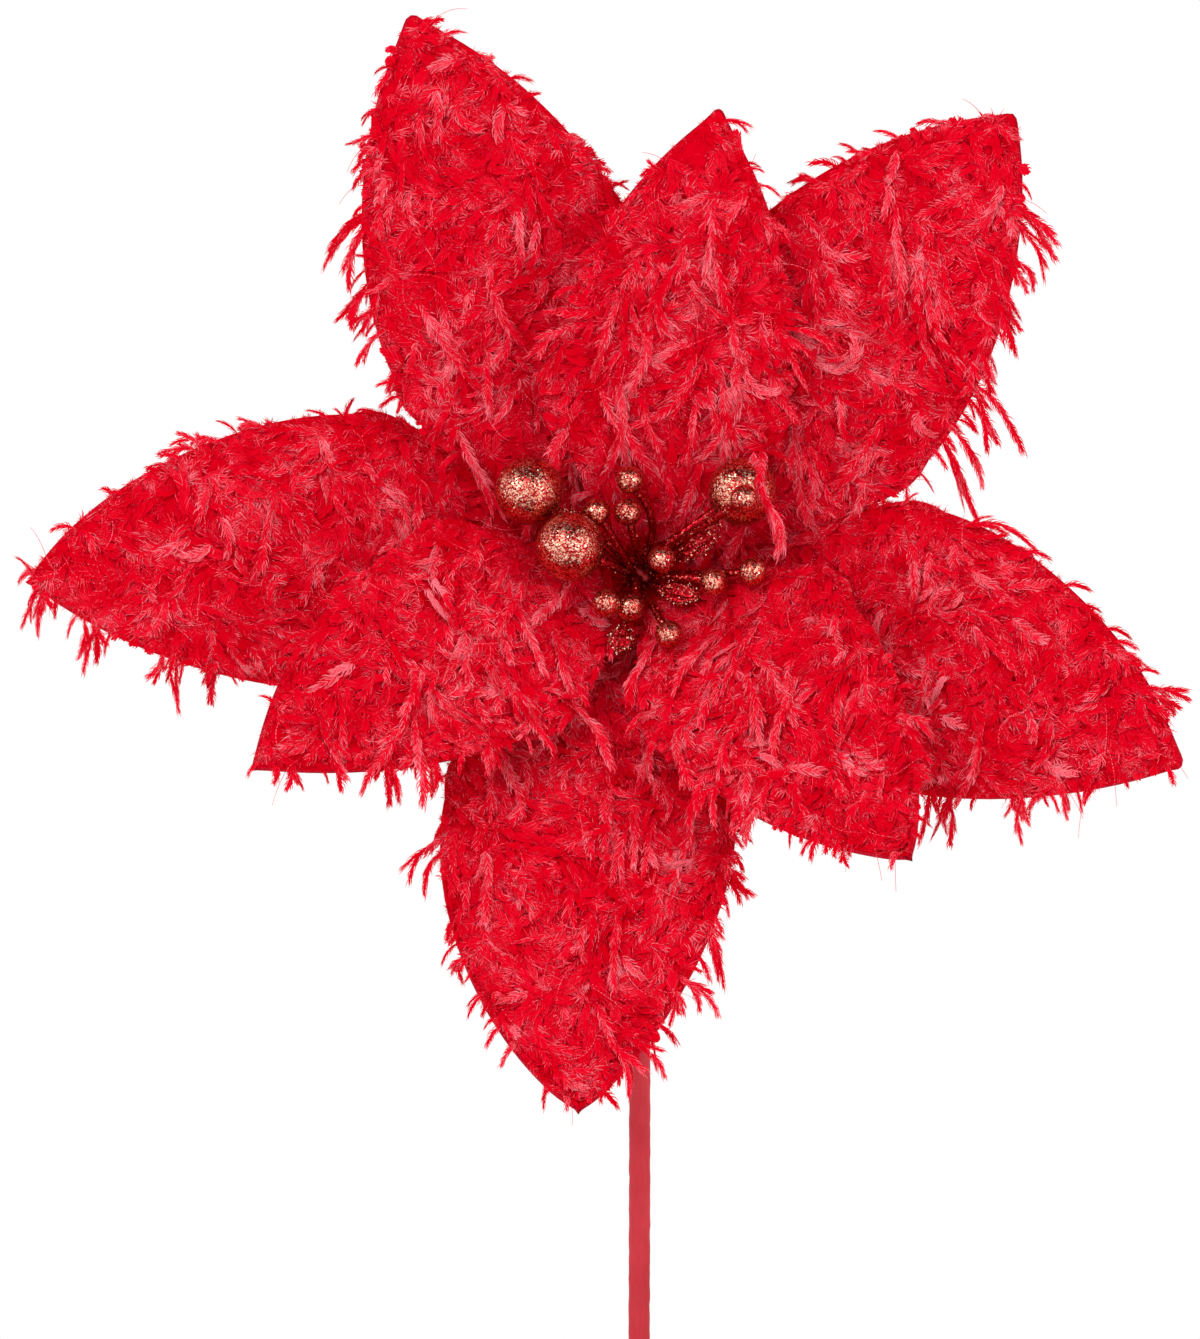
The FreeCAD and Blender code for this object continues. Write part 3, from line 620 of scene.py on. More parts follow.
def build_vane(shape, random, segments=8, loose=14):
    """A vane 12 mm long and 1.6 mm to each side: a closed middle, and loose barbs at a low slant."""
    weight = {-1: random.uniform(0.7, 1.15), 0: 0, 1: random.uniform(0.7, 1.15)}
    for vertex in bmesh.ops.create_grid(shape, x_segments=segments, y_segments=2, size=0.5)["verts"]:
        run = vertex.co.x + 0.5
        side = round(vertex.co.y * 2)
        breadth = 0.95 * math.sin(math.pi * (0.04 + 0.94 * run) ** 0.9) ** 0.7 * weight[side]
        breadth *= random.uniform(0.75, 1.1)
        vertex.co = Vector((12 * run + 0.4 * breadth * random.uniform(0, 1), side * breadth, 0.3 * breadth))
        # painted highlight: the vane's edges and far end are lighter
        vertex[shape.verts.layers.float["tone"]] = 0.08 * abs(side) + 0.1 * run
    for index in range(loose):
        side = 1 if index % 2 else -1
        run = 0.05 + 0.88 * (index + random.uniform(0, 1)) / loose
        base = Vector((12 * run - 1.0, side * 0.35, 0.1))
        reach = random.uniform(2.4, 4.2) * math.sin(math.pi * (0.15 + 0.7 * run)) ** 0.5
        slant = side * random.uniform(0.2, 0.62) * (1.15 - 0.5 * run)
        barb(shape, base, slant, reach, 0.42, random.uniform(-0.05, 0.12), -0.25 * side)


def build_frond(shape, random, barbs=24):
    """A frond 12 mm long: a narrow closed middle, and fine barbs that fan out on both sides."""
    for vertex in bmesh.ops.create_grid(shape, x_segments=8, y_segments=2, size=0.5)["verts"]:
        run = vertex.co.x + 0.5
        side = round(vertex.co.y * 2)
        breadth = 0.55 * math.sin(math.pi * (0.04 + 0.94 * run) ** 0.9) ** 0.7 * random.uniform(0.7, 1.1)
        vertex.co = Vector((12 * run + 0.3 * breadth, side * breadth, 0.25 * breadth))
        # painted highlight: the frond's edges are a little lighter
        vertex[shape.verts.layers.float["tone"]] = 0.05 * abs(side) - 0.08
    for index in range(barbs):
        side = 1 if index % 2 else -1
        run = 0.04 + 0.9 * (index + random.uniform(0, 1)) / barbs
        base = Vector((12 * run - 0.6, side * 0.15, 0.1))
        reach = random.uniform(2.6, 4.4) * math.sin(math.pi * (0.15 + 0.7 * run)) ** 0.5
        slant = side * random.uniform(0.35, 0.75) * (1.15 - 0.5 * run)
        barb(shape, base, slant, reach, 0.30, random.normal(0.0, 0.14), -0.3 * side)


def build_tuft(shape, random, barbs=11):
    for index in range(barbs):
        angle = 0.9 * (2 * (index + random.uniform(0, 1)) / barbs - 1)
        base = Vector((random.uniform(0, 0.5), 0.3 * math.sin(angle), 0))
        reach = random.uniform(2.6, 4.6)
        barb(shape, base, angle, reach, 0.34, random.uniform(-0.1, 0.1), random.normal(0, 0.25))


def templates(build, seeds, length=1.0, width=1.0):
    """The vertices, tones and faces of some small shapes, with x in lengths and y and z in widths."""
    made = []
    for seed in seeds:
        shape = bmesh.new()
        tone = shape.verts.layers.float.new("tone")
        build(shape, np.random.default_rng(seed))
        shape.verts.index_update()
        points = np.array([vertex.co for vertex in shape.verts]) / (length, width, width)
        tones = np.array([vertex[tone] for vertex in shape.verts])
        made.append((points, tones, [[vertex.index for vertex in face.verts] for face in shape.faces]))
        shape.free()
    return made


VANES = templates(build_vane, range(8), 12, 1.6)
FRONDS = templates(build_frond, range(40, 48), 12, 1.6)
TUFTS = templates(build_tuft, range(10, 15), 4.5, 1.5)
QUILLS = templates(build_quill, [20], 12, 0.14)
for word, kinds in (("vane", VANES), ("frond", FRONDS), ("tuft", TUFTS), ("quill", QUILLS)):
    print(word, "of", len(kinds[0][2]), "faces")

# %% The lines that feathers follow
DOWN = np.array([0.0, 0.0, -1.0])
FRONT = np.array([0.0, -1.0, 0.0])
STEPS = 10


def unit(vectors):
    return vectors / np.maximum(np.linalg.norm(vectors, axis=-1, keepdims=True), 1e-12)


def grow(petal, x, y, angle, curl, length, stand, weight):
    """Lines of STEPS + 1 points, and the normals along them. All arguments are arrays, one value a feather.

    stand is how far the middle of a feather lifts off the cloth. weight, from 0 to 1, is how
    fast it turns down once it has passed the edge.
    """
    step = length / STEPS
    heading = angle.copy()
    spots = []
    normals = []
    here, along, across, normal = petal.frame_at(x, y, FELT_HALF + CLOTH)
    free = np.zeros(len(x), bool)
    spot = here
    lift = np.zeros(len(x))
    going = None
    for number in range(STEPS + 1):
        run = number / STEPS
        spots.append(spot + normal * lift[:, None])
        normals.append(normal)
        flat = along * np.cos(heading)[:, None] + across * np.sin(heading)[:, None]
        going = flat if going is None else np.where(free[:, None], going, flat)
        turn = (weight * 1.6 / STEPS + 0.05)[:, None]
        going = np.where(free[:, None], unit(going * (1 - turn) + DOWN * turn), going)
        x = x + step * np.cos(heading)
        y = y + step * np.sin(heading)
        heading = heading + curl / STEPS
        left, right = petal.widths(np.clip(x, petal.root, petal.length))
        free = free | (y > left) | (y < -right) | (x > petal.length)
        there, new_along, new_across, new_normal = petal.frame_at(x, y, FELT_HALF + CLOTH)
        spot = np.where(free[:, None], spot + going * step[:, None], there)
        keep = free[:, None]
        along = np.where(keep, along, new_along)
        across = np.where(keep, across, new_across)
        level = unit(normal - going * np.sum(normal * going, axis=1, keepdims=True))
        normal = np.where(keep, level, new_normal)
        lift = stand * math.sin(math.pi * 0.8 * min(run + 1 / STEPS, 1)) + 0.3 * MM
    return np.stack(spots, axis=1), np.stack(normals, axis=1)


# %% Bend templates along lines
def dress_lines(kind, lines, normals, width, tone, twist):
    """Copies of a template bent along lines, as vertices, tones, stripes, faces and their number."""
    points, tones, faces = kind
    run = np.clip(points[:, 0], 0, 1) * STEPS
    low = np.clip(run.astype(int), 0, STEPS - 1)
    part = (points[:, 0] * STEPS - low)[None, :, None]
    middle = lines[:, low] * (1 - part) + lines[:, low + 1] * part
    forward = unit(lines[:, low + 1] - lines[:, low])
    normal = unit(normals[:, low] * (1 - part) + normals[:, low + 1] * part)
    side = unit(np.cross(normal, forward))
    roll = twist[:, None] * points[:, 0][None, :]
    turned = side * np.cos(roll)[..., None] + normal * np.sin(roll)[..., None]
    above = normal * np.cos(roll)[..., None] - side * np.sin(roll)[..., None]
    spread = width[:, None, None]
    out, up = points[None, :, 1, None], points[None, :, 2, None]
    spots = middle + turned * spread * out + above * spread * up
    length = np.linalg.norm(np.diff(lines, axis=1), axis=2).sum(axis=1)
    # barbs leave the quill at a low slant, so a stripe's line climbs 2.4 mm for each millimetre outwards
    stripes = length[:, None] * points[:, 0][None, :] - 2.4 * width[:, None] * np.abs(points[:, 1])[None, :]
    stripes = stripes + np.arange(len(width))[:, None] * 37 * MM
    # each feather's tone adds to its template's; a high tone paints a pink highlight on the feather
    shades = tones[None, :] + tone[:, None]
    return spots.reshape(-1, 3), shades.reshape(-1), stripes.reshape(-1), faces, len(width)


def chain(lines, normals, random, links, part):
    """Short lines along long ones, links to each, that cover part of its length and stray to the side."""
    count = len(lines)
    rows = np.arange(count)[:, None]
    run = np.linspace(0, 1, STEPS + 1)[None, :]
    short = []
    for link in range(links):
        first = (link + random.uniform(0, 0.6, count)) / links * (1 - part)
        at = (first[:, None] + part * run) * STEPS
        low = np.clip(at.astype(int), 0, STEPS - 1)
        rest = (at - low)[..., None]
        line = lines[rows, low] * (1 - rest) + lines[rows, low + 1] * rest
        normal = normals[rows, low]
        sideways = np.cross(normal, unit(line[:, -1:] - line[:, :1]))
        stray = random.normal(0, 1.5 * MM, (count, 1)) * run ** 1.5
        short.append((line + sideways * stray[..., None], normal))
    return np.concatenate([line for line, _ in short]), np.concatenate([normal for _, normal in short])


# %% Join the copies
def join(batches, name):
    """One mesh of all the bent copies."""
    spots = np.concatenate([batch[0] for batch in batches])
    corners = []
    sizes = []
    first = 0
    for spot, _, _, faces, count in batches:
        starts = first + len(spot) // count * np.arange(count)
        flat = np.concatenate([np.array(face) for face in faces])
        corners.append((starts[:, None] + flat[None, :]).reshape(-1))
        sizes.append(np.tile([len(face) for face in faces], count))
        first += len(spot)
    corners = np.concatenate(corners).astype(np.int32)
    sizes = np.concatenate(sizes).astype(np.int32)
    mesh = bpy.data.meshes.new(name)
    mesh.vertices.add(len(spots))
    mesh.vertices.foreach_set("co", spots.astype(np.float32).reshape(-1))
    mesh.loops.add(len(corners))
    mesh.loops.foreach_set("vertex_index", corners)
    mesh.polygons.add(len(sizes))
    mesh.polygons.foreach_set("loop_start", (np.cumsum(sizes) - sizes).astype(np.int32))
    mesh.update(calc_edges=True)
    for number, layer in ((1, "tone"), (2, "stripe")):
        values = np.concatenate([batch[number] for batch in batches]).astype(np.float32)
        mesh.attributes.new(layer, "FLOAT", "POINT").data.foreach_set("value", values)
    return mesh


# %% Where the feathers grow
RIM_WIDTH = 3 * MM


def scatter(petal, random, count, margin):
    """Points spread evenly over the petal's plan, kept inside margin times its half widths."""
    widest = petal.left[:, 1].max() - petal.right[:, 1].min()
    x = random.uniform(petal.root, petal.length - 3 * MM, 6 * count)
    left, right = petal.widths(x)
    x = x[random.uniform(0, 1, len(x)) < (left + right) / widest][:count]
    left, right = petal.widths(x)
    return x, (-right + (left + right) * random.uniform(0, 1, len(x))) * margin


def rim(petal, random, count):
    """Points just inside the cut edge."""
    x = petal.root + (petal.length - petal.root) * random.uniform(0.05, 0.99, count)
    left, right = petal.widths(x)
    side = random.uniform(0, 1, count) < 0.5
    inside = random.uniform(0.1, 1, count) * RIM_WIDTH
    return x, np.where(side, left - inside, inside - right)


def downhill(petal, x, y):
    """The heading in the petal's plan that points down."""
    _, along, across, _ = petal.frame_at(x, y, 0)
    return np.arctan2(across @ DOWN, along @ DOWN)


def swirl(x, y, phase):
    """A smooth field of headings, turning over a few centimetres."""
    return (2.2 * np.sin(x / (13 * MM) + phase) * np.cos(y / (11 * MM) - 2 * phase)
            + 1.3 * np.sin((x + y) / (19 * MM) + 3 * phase))


def clusters(x, y, phase):
    """Where plumes bunch together, from -1 to 1, over a centimetre or two."""
    return np.sin(x / (8 * MM) + 3 * phase) * np.sin(y / (7 * MM) + 5 * phase)


def mix_headings(*pairs):
    total_x = sum(weight * np.cos(angle) for angle, weight in pairs)
    total_y = sum(weight * np.sin(angle) for angle, weight in pairs)
    return np.arctan2(total_y, total_x)


def trim(petal, x, y, angle, length, spare):
    """Feather lengths, cut short where the tip would pass the petal's edge by more than spare."""
    far_x = x + length * np.cos(angle)
    far_y = y + length * np.sin(angle)
    left, right = petal.widths(np.clip(far_x, petal.root, petal.length))
    outside = (far_y > left + spare) | (far_y < -right - spare) | (far_x > petal.length + spare)
    return np.where(outside, 0.4 * length, length)

# %% Lay feathers on a petal
USUAL_AREA = 9100 * MM * MM
# how many of each kind grow on a petal of the usual area
GROWTH = {"cover": 1000, "fuzz": 800, "plumes": 150, "quills": 80, "edge fuzz": 420, "edge fronds": 56}
Around = namedtuple("Around", "middle spread")


class Coat:
    """The feathers of one petal, drawn by chance from a seed of its own."""

    def __init__(self, petal, seed):
        self.petal = petal
        self.random = np.random.default_rng(seed)
        self.share = cut_area(petal) / USUAL_AREA
        self.batches = []

    def count(self, kind):
        return int(GROWTH[kind] * self.share)

    def draw(self, value, count, scale=1.0):
        """Values drawn around a middle, or between a pair of ends times scale, or value as it is."""
        if isinstance(value, Around):
            return self.random.normal(*value, count)
        if isinstance(value, tuple):
            return self.random.uniform(*value, count) * scale
        return value + np.zeros(count)

    def heading(self, x, y, down, wander, stray):
        """A mix of straight down and the petal's smooth swirl, each feather a little astray."""
        mixed = mix_headings((downhill(self.petal, x, y), down),
                             (swirl(x, y, self.petal.looks["phase"]), wander))
        return mixed + self.random.normal(0, stray, len(x))

    def lines(self, x, y, angle, curl, length, stand, weight):
        """Grow a line at each x, y. Pairs of length and stand are in millimetres."""
        n = len(x)
        curl = self.draw(curl, n)
        length = self.draw(length, n, MM)
        stand = self.draw(stand, n, MM)
        return grow(self.petal, x, y, angle, curl, length, stand, self.draw(weight, n))

    def bend(self, kinds, grown, width, tone, twist):
        """Bend one of several templates along each line. A pair of widths is in millimetres."""
        lines, normals = grown
        n = len(lines)
        width = self.draw(width, n, MM)
        tone = self.draw(tone, n)
        twist = self.draw(twist, n)
        kind_of = self.random.integers(0, len(kinds), n)
        for index, kind in enumerate(kinds):
            pick = kind_of == index
            if pick.any():
                self.batches.append(dress_lines(kind, lines[pick], normals[pick], width[pick], tone[pick],
                                                twist[pick]))


# %% Cover the ground
def lay_cover(coat):
    """Short broad vanes."""
    x, y = scatter(coat.petal, coat.random, coat.count("cover"), margin=0.96)
    angle = coat.heading(x, y, down=0.7, wander=1.2, stray=0.5)
    length = trim(coat.petal, x, y, angle, coat.draw((6, 11), len(x), MM), spare=0.5 * MM)
    lines = coat.lines(x, y, angle, curl=(-1, 1), length=length, stand=(0.1, 0.9), weight=0.2)
    coat.bend(VANES, lines, width=(1.7, 3.0), tone=Around(-0.08, 0.05), twist=(-0.4, 0.4))


def lay_eye(coat):
    """Vanes that point in to the middle, which close the flower's eye."""
    n = 44
    x = coat.petal.root + coat.draw((0.5, 12), n, MM)
    y = coat.draw((-0.9, 0.9), n) * coat.petal.widths(x)[0]
    angle = coat.draw(Around(math.pi, 0.7), n)
    lines = coat.lines(x, y, angle, curl=(-0.6, 0.6), length=(8, 12), stand=(-2.0, 0.3), weight=0.0)
    coat.bend(VANES, lines, width=(2.4, 3.8), tone=Around(-0.3, 0.05), twist=(-0.4, 0.4))


def lay_fuzz(coat):
    """Fuzz of single barbs between the vanes."""
    x, y = scatter(coat.petal, coat.random, coat.count("fuzz"), margin=0.97)
    angle = coat.heading(x, y, down=0.6, wander=1.0, stray=0.8)
    length = trim(coat.petal, x, y, angle, coat.draw((3, 7), len(x), MM), spare=1 * MM)
    lines = coat.lines(x, y, angle, curl=(-0.6, 0.6), length=length, stand=(0.4, 1.4), weight=0.2)
    coat.bend(TUFTS, lines, width=(0.9, 2.0), tone=Around(0.05, 0.1), twist=(-0.5, 0.5))


# %% Grow the plumes
def lay_plumes(coat):
    """Plumes of up to four fronds that grow one out of the other, in loose bunches."""
    petal = coat.petal
    x, y = scatter(petal, coat.random, coat.count("plumes"), margin=0.88)
    bunched = clusters(x, y, petal.looks["phase"])
    kept = bunched > -0.25
    x, y, bunched = x[kept], y[kept], bunched[kept]
    n = len(x)
    angle = coat.heading(x, y, down=1.3, wander=0.8, stray=0.45)
    curl = coat.draw(Around(0, 0.7), n)
    length = coat.draw((8, 15), n, MM)
    # painted highlight: plumes are lighter than the cover, and lighter still where they bunch
    tone = coat.draw(Around(0.13, 0.13), n) + 0.12 * bunched
    for _ in range(4):
        n = len(x)
        heading = angle + coat.draw(Around(0, 0.22), n)
        turn = curl + coat.draw(Around(0, 0.4), n)
        reach = trim(petal, x, y, angle, length * coat.draw((0.7, 1.1), n), spare=1 * MM)
        lines = coat.lines(x, y, heading, turn, reach, stand=(0.5, 2.2), weight=0.5)
        coat.bend(FRONDS, lines, width=(1.5, 3.0), tone=Around(tone, 0.06), twist=(-1.0, 1.0))
        x = x + 0.42 * length * np.cos(angle)
        y = y + 0.42 * length * np.sin(angle)
        angle = angle + 0.5 * curl
        left, right = petal.widths(np.clip(x, petal.root, petal.length))
        inside = (y < 0.85 * left) & (y > -0.85 * right) & (x < 0.88 * petal.length)
        stay = inside & (coat.draw((0, 1), n) < 0.7)
        x, y, angle, curl, length, tone = (each[stay] for each in (x, y, angle, curl, length, tone))


def lay_quills(coat):
    """Bare curved quills."""
    x, y = scatter(coat.petal, coat.random, coat.count("quills"), margin=0.8)
    angle = coat.draw((-3.1, 3.1), len(x))
    lines = coat.lines(x, y, angle, curl=(-2.4, 2.4), length=(10, 22), stand=(2, 4), weight=0.5)
    coat.bend(QUILLS, lines, width=0.13 * MM, tone=(0.1, 0.4), twist=0.0)


# %% Fray the cut edge
def lay_edge_fuzz(coat):
    x, y = rim(coat.petal, coat.random, coat.count("edge fuzz"))
    angle = np.arctan2(np.sign(y), 0.5) + coat.draw(Around(0, 0.9), len(x))
    lines = coat.lines(x, y, angle, curl=(-0.8, 0.8), length=(1.0, 2.6), stand=(0.1, 0.6), weight=0.3)
    coat.bend(TUFTS, lines, width=(0.6, 1.2), tone=Around(-0.02, 0.08), twist=(-0.8, 0.8))


def lay_edge_fronds(coat):
    x, y = rim(coat.petal, coat.random, coat.count("edge fronds"))
    outward = mix_headings((np.arctan2(np.sign(y), 0.5), 1.0), (downhill(coat.petal, x, y), 0.7))
    angle = outward + coat.draw(Around(0, 0.5), len(x))
    lines = coat.lines(x, y, angle, curl=(-0.8, 0.8), length=(5, 10), stand=(0.2, 1.5), weight=(0.2, 0.6))
    coat.bend(FRONDS, lines, width=(0.9, 2.0), tone=Around(0.05, 0.1), twist=(-1.2, 1.2))


# %% Hang the long plumes and strands
def lay_hanging(coat):
    """Long plumes, each a chain of small fronds, that hang down the face."""
    x, y = scatter(coat.petal, coat.random, coat.petal.looks["hanging"], margin=0.8)
    x = 0.86 * x            # so that none starts at the tip, where it would hang alone
    angle = downhill(coat.petal, x, y) + coat.draw(Around(0, 0.25), len(x))
    lines = coat.lines(x, y, angle, curl=Around(0, 0.5), length=(20, 40), stand=(1.5, 3.5), weight=0.8)
    lines = chain(*lines, coat.random, links=6, part=0.34)
    # painted highlight: hanging plumes are lighter than the cover
    coat.bend(FRONDS, lines, width=(1.3, 2.6), tone=Around(0.2, 0.09), twist=(-0.9, 0.9))


def lay_strands(coat):
    """Strands that hang over the edge, in groups of three that start together."""
    petal = coat.petal
    run, side, reach = np.array(petal.looks["strands"]).T
    x = petal.root + (petal.length - petal.root) * run
    left, right = petal.widths(x)
    y = np.where(side > 0, left, -right) - side * 4 * MM
    angle = mix_headings((downhill(petal, x, y), 0.8), (np.arctan2(side, 0.4), 0.9))
    n = len(x)
    for _ in range(3):
        start = x + coat.draw(Around(0, 2.2), n) * MM
        heading = angle + coat.draw(Around(0, 0.35), n)
        curl = coat.draw((-0.9, 0.9), n)
        length = (4 + reach * coat.draw((0.6, 1.2), n)) * MM
        lines = coat.lines(start, y, heading, curl, length, stand=(0.5, 2.5), weight=(0.3, 0.9))
        lines = chain(*lines, coat.random, links=4, part=0.42)
        coat.bend(FRONDS, lines, width=(1.0, 2.1), tone=Around(0.1, 0.1), twist=(-1.2, 1.2))


def drape(petal, random, run, side, ball, over, end):
    """Small fronds, one below the other, that start on the petal and hang in front of a ball."""
    low, high = (np.array(corner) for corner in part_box(ball))
    centre = (low + high) / 2
    radius = (high[0] - low[0]) / 2
    x = np.array([run * petal.length])
    left, right = petal.widths(x)
    start = petal.frame_at(x, side * (left if side > 0 else right), FELT_HALF + CLOTH)[0]
    over, end = ([millimetres * MM for millimetres in place] for place in (over, end))
    above = centre + (over[0], -math.sqrt(max(radius ** 2 - over[0] ** 2, 0)) - 2.5 * MM, over[1])
    below = centre + (end[0], -0.5 * radius, end[1])
    handle = 2 * above - (start + below) / 2
    count = 16
    first = random.uniform(0, 0.72, count)
    t = (first[:, None] + np.linspace(0, 0.28, STEPS + 1)[None, :])[..., None]
    lines = (1 - t) ** 2 * start + 2 * t * (1 - t) * handle + t ** 2 * below
    lines = lines + random.normal(0, 0.7 * MM, (count, 1, 3))
    lines[..., 0] += 1.8 * MM * np.sin(9 * t[..., 0] + random.uniform(0, 1.2, count)[:, None])
    forward = unit(np.gradient(lines, axis=1))
    normals = unit(FRONT - forward * (forward @ FRONT)[..., None])
    # painted highlight: the draped fronds are as light as the hanging plumes
    return dress_lines(FRONDS[1], lines, normals, random.uniform(1.3, 2.4, count) * MM,
                       random.normal(0.2, 0.08, count), random.uniform(-0.9, 0.9, count))


# %% Dress the petals
LAYERS = (lay_cover, lay_eye, lay_fuzz, lay_plumes, lay_quills, lay_edge_fuzz, lay_edge_fronds, lay_hanging,
          lay_strands)
COAT_SEED = 100
DRAPE_SEED = 300
for number, (name, petal) in enumerate(shapes.items()):
    coat = Coat(petal, COAT_SEED + number)
    for lay in LAYERS:
        lay(coat)
    random = np.random.default_rng(DRAPE_SEED + number)
    for drop in petal.looks.get("drapes", ()):
        coat.batches.append(drape(petal, random, *drop))
    mesh = join(coat.batches, name + "_feathers")
    shown(mesh, name + "_feathers", feather, name)
    print(name, sum(batch[4] for batch in coat.batches), "feathers of", len(mesh.polygons), "faces")

# %% Work out each sheet's cut area
for name, petal in shapes.items():
    area = cut_area(petal)

# %% [markdown]
# ## Paper tape
# On the real stem a 12 mm crepe tape is wound up the sleeve with a small overlap, and goes on
# round the bend to the back of the flower. One grid is rolled into a tube along that line: its
# long side follows the stem, its short side goes round, and the overlap is a slow screw-shaped
# step. It crosses the neck's joint, so it is blended from stem to head.

# %% Wind the tape
TAPE_PITCH = 11 * MM
OVERLAP_STEP = 0.14 * MM
TAPE_THICKNESS = 0.25 * MM
WRINKLE = 0.05 * MM
BOW = 0.15 * MM             # the straight sleeve has to stay inside the tape
FIRST_TURN = 0.05 * MM      # just above the cut end
ROUND = 28
NECK_TURN = math.radians(84)        # the bend at rest; neck_bend's upper limit straightens it
stem_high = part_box("stem_tape")[1]
stem_top = stem_high.z
tape_radius = stem_high.x
neck_radius = (joints["neck_bend"]["pos_m"][2] - stem_top) / math.tan(NECK_TURN / 2)


def stem_line(s):
    """Point and heading at length s up the stem and round the neck."""
    if s < stem_top:
        fade = min(1, s / (30 * MM)) * min(1, (stem_top - s) / (30 * MM))
        return Vector((BOW * fade * math.sin(s / (33 * MM)), 0, s)), Vector((0, 0, 1))
    turn = min((s - stem_top) / neck_radius, NECK_TURN)
    centre = Vector((0, -neck_radius, stem_top))
    spot = centre + Vector((0, math.cos(turn), math.sin(turn))) * neck_radius
    return spot, Vector((0, -math.sin(turn), math.cos(turn)))


def wind_tape(whole):
    shape = bmesh.new()
    bmesh.ops.create_grid(shape, x_segments=round(whole / (1.6 * MM)), y_segments=ROUND, size=0.5)
    for vertex in shape.verts:
        s = FIRST_TURN + (vertex.co.x + 0.5) * (whole - FIRST_TURN)
        angle = (vertex.co.y + 0.5) * math.tau
        spot, heading = stem_line(s)
        side = Vector((1, 0, 0))
        other = heading.cross(side)
        wound = (s / TAPE_PITCH - angle / math.tau) % 1
        radius = tape_radius + OVERLAP_STEP * (0.5 - wound) + WRINKLE * math.sin(3 * angle + 900 * s)
        vertex.co = spot + (side * math.cos(angle) + other * math.sin(angle)) * radius
    weld(shape, WELD / 2)
    if shape.calc_volume() < 0:
        bmesh.ops.reverse_faces(shape, faces=shape.faces)
    thicken(shape, TAPE_THICKNESS)
    return finished(shape, "tape_winding")


tape_length = stem_top + neck_radius * NECK_TURN
tape_winding = shown(wind_tape(tape_length), "tape_winding", tape, None)
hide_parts("stem_tape", "neck_tape", "neck_wire")
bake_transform(tape_winding, "stem", "head", start=(0, 0, stem_top), end=tuple(stem_line(tape_length)[0]))
print("tape radius", round(tape_radius / MM, 2), "mm, neck radius", round(neck_radius / MM, 1), "mm")


# %% [markdown]
# ## Berries, twigs and leaves
# The balls are hard foam dipped in glue and glitter, and their twigs are wire in the same coat.
# The CAD wire is the bare core, so a copy of its mesh is merged and pushed outwards to make the
# lumpy coat. Loose flakes are single hexagons laid on the surface at chance angles, which is
# what makes the edge of a glitter ball rough and gives it separate sparks.

# %% Coat the twigs
def coat_twigs(node, name, body, thickness):
    shape = bmesh.new()
    shape.from_mesh(frame["nodes"][node].data)
    bmesh.ops.remove_doubles(shape, verts=shape.verts, dist=0.005 * MM)
    shape.normal_update()
    for vertex in shape.verts:
        lump = 0.75 + 0.25 * math.sin(1400 * vertex.co.x + 1700 * vertex.co.z + 1100 * vertex.co.y)
        vertex.co += vertex.normal * thickness * lump
    piece = shown(finished(shape, name), name, red_coat, body)
    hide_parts(node)
    return piece


# %% Shape the leaves
def shape_leaf(node):
    """A pointed leaf folded along its middle, in the place of the CAD leaf, and points along its edge."""
    points = node_points(node)
    middle = points.mean(axis=0)
    _, _, axes = np.linalg.svd(points - middle, full_matrices=False)
    half = np.abs((points - middle) @ axes.T).max(axis=0)
    along, across = axes[0], axes[1]
    front = np.cross(along, across)
    if front[1] > 0:
        front, across = -front, -across
    if along @ (middle - np.array(head_centre)) < 0:
        along = -along

    def spot(run, side):
        fold = math.cos(run * math.pi / 2)
        rise = half[2] * (1.1 * abs(side) * fold - 0.5) + 0.8 * MM * max(run, 0) ** 2
        return middle + along * half[0] * run + across * (half[1] * fold ** 0.8) * side + front * rise

    shape = bmesh.new()
    bmesh.ops.create_grid(shape, x_segments=14, y_segments=6, size=1)
    for vertex in shape.verts:
        vertex.co = spot(vertex.co.x, vertex.co.y)
    weld(shape, WELD)
    thicken(shape, 0.5 * MM)
    piece = shown(finished(shape, node + "_blade"), node + "_blade", red_coat, "head")
    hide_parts(node)
    edge = [spot(run, side) for side in (-1, 1) for run in np.linspace(-1, 1, 60)]
    return piece, np.array(edge), front


# %% Scatter the flakes
def sample(mesh, count, random):
    """Points and normals spread evenly over a mesh."""
    mesh.calc_loop_triangles()
    corners = np.empty(len(mesh.loop_triangles) * 3, np.int32)
    mesh.loop_triangles.foreach_get("vertices", corners)
    places = np.empty(len(mesh.vertices) * 3)
    mesh.vertices.foreach_get("co", places)
    a, b, c = places.reshape(-1, 3)[corners.reshape(-1, 3)].transpose(1, 0, 2)
    cross = np.cross(b - a, c - a)
    area = np.linalg.norm(cross, axis=1)
    pick = random.choice(len(a), count, p=area / area.sum())
    u, v = random.uniform(0, 1, (2, count))
    flip = u + v > 1
    u, v = np.where(flip, 1 - u, u)[:, None], np.where(flip, 1 - v, v)[:, None]
    return a[pick] + u * (b - a)[pick] + v * (c - a)[pick], unit(cross[pick])


def build_flake(shape, _):
    bmesh.ops.create_circle(shape, cap_ends=True, segments=6, radius=1)


FLAKE = templates(build_flake, [30])[0]


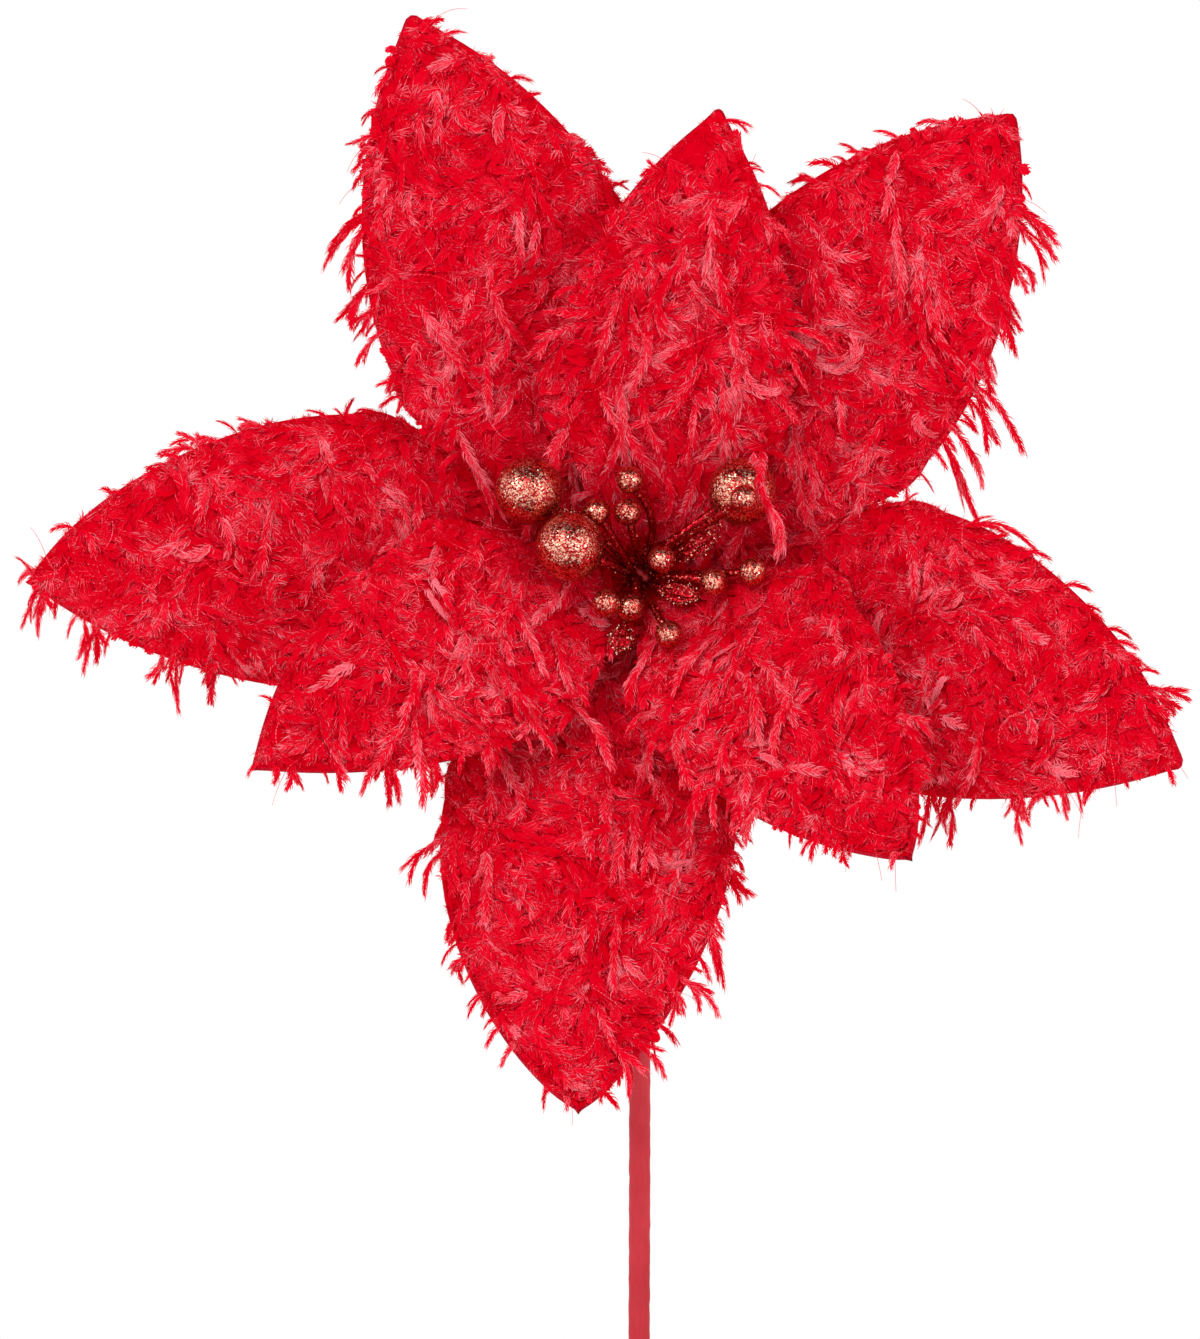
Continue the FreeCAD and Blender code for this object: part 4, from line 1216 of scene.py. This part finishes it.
def strew(spots, normals, radius, tilt, tones, random):
    """One hexagonal flake at each spot, leaning by chance."""
    points, _, faces = FLAKE
    count = len(spots)
    facing = unit(normals + random.normal(0, tilt, (count, 3)))
    side = unit(np.cross(facing, random.normal(0, 1, (count, 3))))
    other = np.cross(facing, side)
    size = radius * random.uniform(0.6, 1.3, count)[:, None, None]
    flat = size * (side[:, None, :] * points[None, :, 0:1] + other[:, None, :] * points[None, :, 1:2])
    placed = (spots + normals * 0.08 * MM)[:, None, :] + flat
    return placed.reshape(-1, 3), np.repeat(tones, len(points)), np.zeros(count * len(points)), faces, count


def ball_flakes(node, density, radius, random):
    mesh = frame["nodes"][node].data
    area = sum(face.area for face in mesh.polygons)
    count = int(density * area / (MM * MM))
    spots, normals = sample(mesh, count, random)
    return strew(spots, normals, radius, 0.14, random.uniform(0.1, 1.0, count), random)


# %% Put the glitter on
FLAKE_SIZE = 0.22 * MM
SMALL_FLAKE = 0.2 * MM
EDGE_FLAKE = 0.19 * MM
FLAKES_PER_MM2 = 1.6
BALL_TWIG_FLAKES = 500
TWIG_FLAKES = 2600
LEAF_FLAKES = 160
BALL_COAT = 0.7 * MM
BERRY_COAT = 0.6 * MM
sparkle = np.random.default_rng(7)


def strew_piece(piece, count, radius, brightest):
    """Flakes at chance angles all over a piece."""
    spots, normals = sample(piece.data, count, sparkle)
    return strew(spots, normals, radius, 0.5, sparkle.uniform(0.0, brightest, count), sparkle)


balls = sorted(name for name in frame["bodies"] if name.startswith("ball_"))
for name in balls:
    twig = coat_twigs("ball_twig_" + name.removeprefix("ball_"), name + "_twig_coat", name, BALL_COAT)
    on_twig = sample(twig.data, BALL_TWIG_FLAKES, sparkle)
    batches = [ball_flakes(name, FLAKES_PER_MM2, FLAKE_SIZE, sparkle),
               strew(*on_twig, FLAKE_SIZE, 0.5, sparkle.uniform(0.0, 0.6, BALL_TWIG_FLAKES), sparkle)]
    shown(join(batches, name + "_flakes"), name + "_flakes", flakes, name)

nodes = sorted(frame["nodes"])
berries = [node for node in nodes if node.startswith("berry_") and node != "berry_twigs"]
batches = [ball_flakes(node, FLAKES_PER_MM2, SMALL_FLAKE, sparkle) for node in berries]
twigs = coat_twigs("berry_twigs", "berry_twig_coat", "head", BERRY_COAT)
batches.append(strew_piece(twigs, TWIG_FLAKES, SMALL_FLAKE, 0.55))
for node in nodes:
    if node.startswith("glitter_leaf_"):
        blade, edge, front = shape_leaf(node)
        batches.append(strew_piece(blade, LEAF_FLAKES, FLAKE_SIZE, 0.5))
        edge = np.repeat(edge, 3, axis=0)
        edge = edge + sparkle.normal(0, 0.4 * MM, edge.shape)
        facing = np.tile(front, (len(edge), 1))
        batches.append(strew(edge, facing, EDGE_FLAKE, 0.6, sparkle.uniform(0.0, 1.0, len(edge)), sparkle))
berry_flakes = shown(join(batches, "berry_flakes"), "berry_flakes", flakes, "head")
print(len(berry_flakes.data.polygons), "flakes on the berries, twigs and leaves")
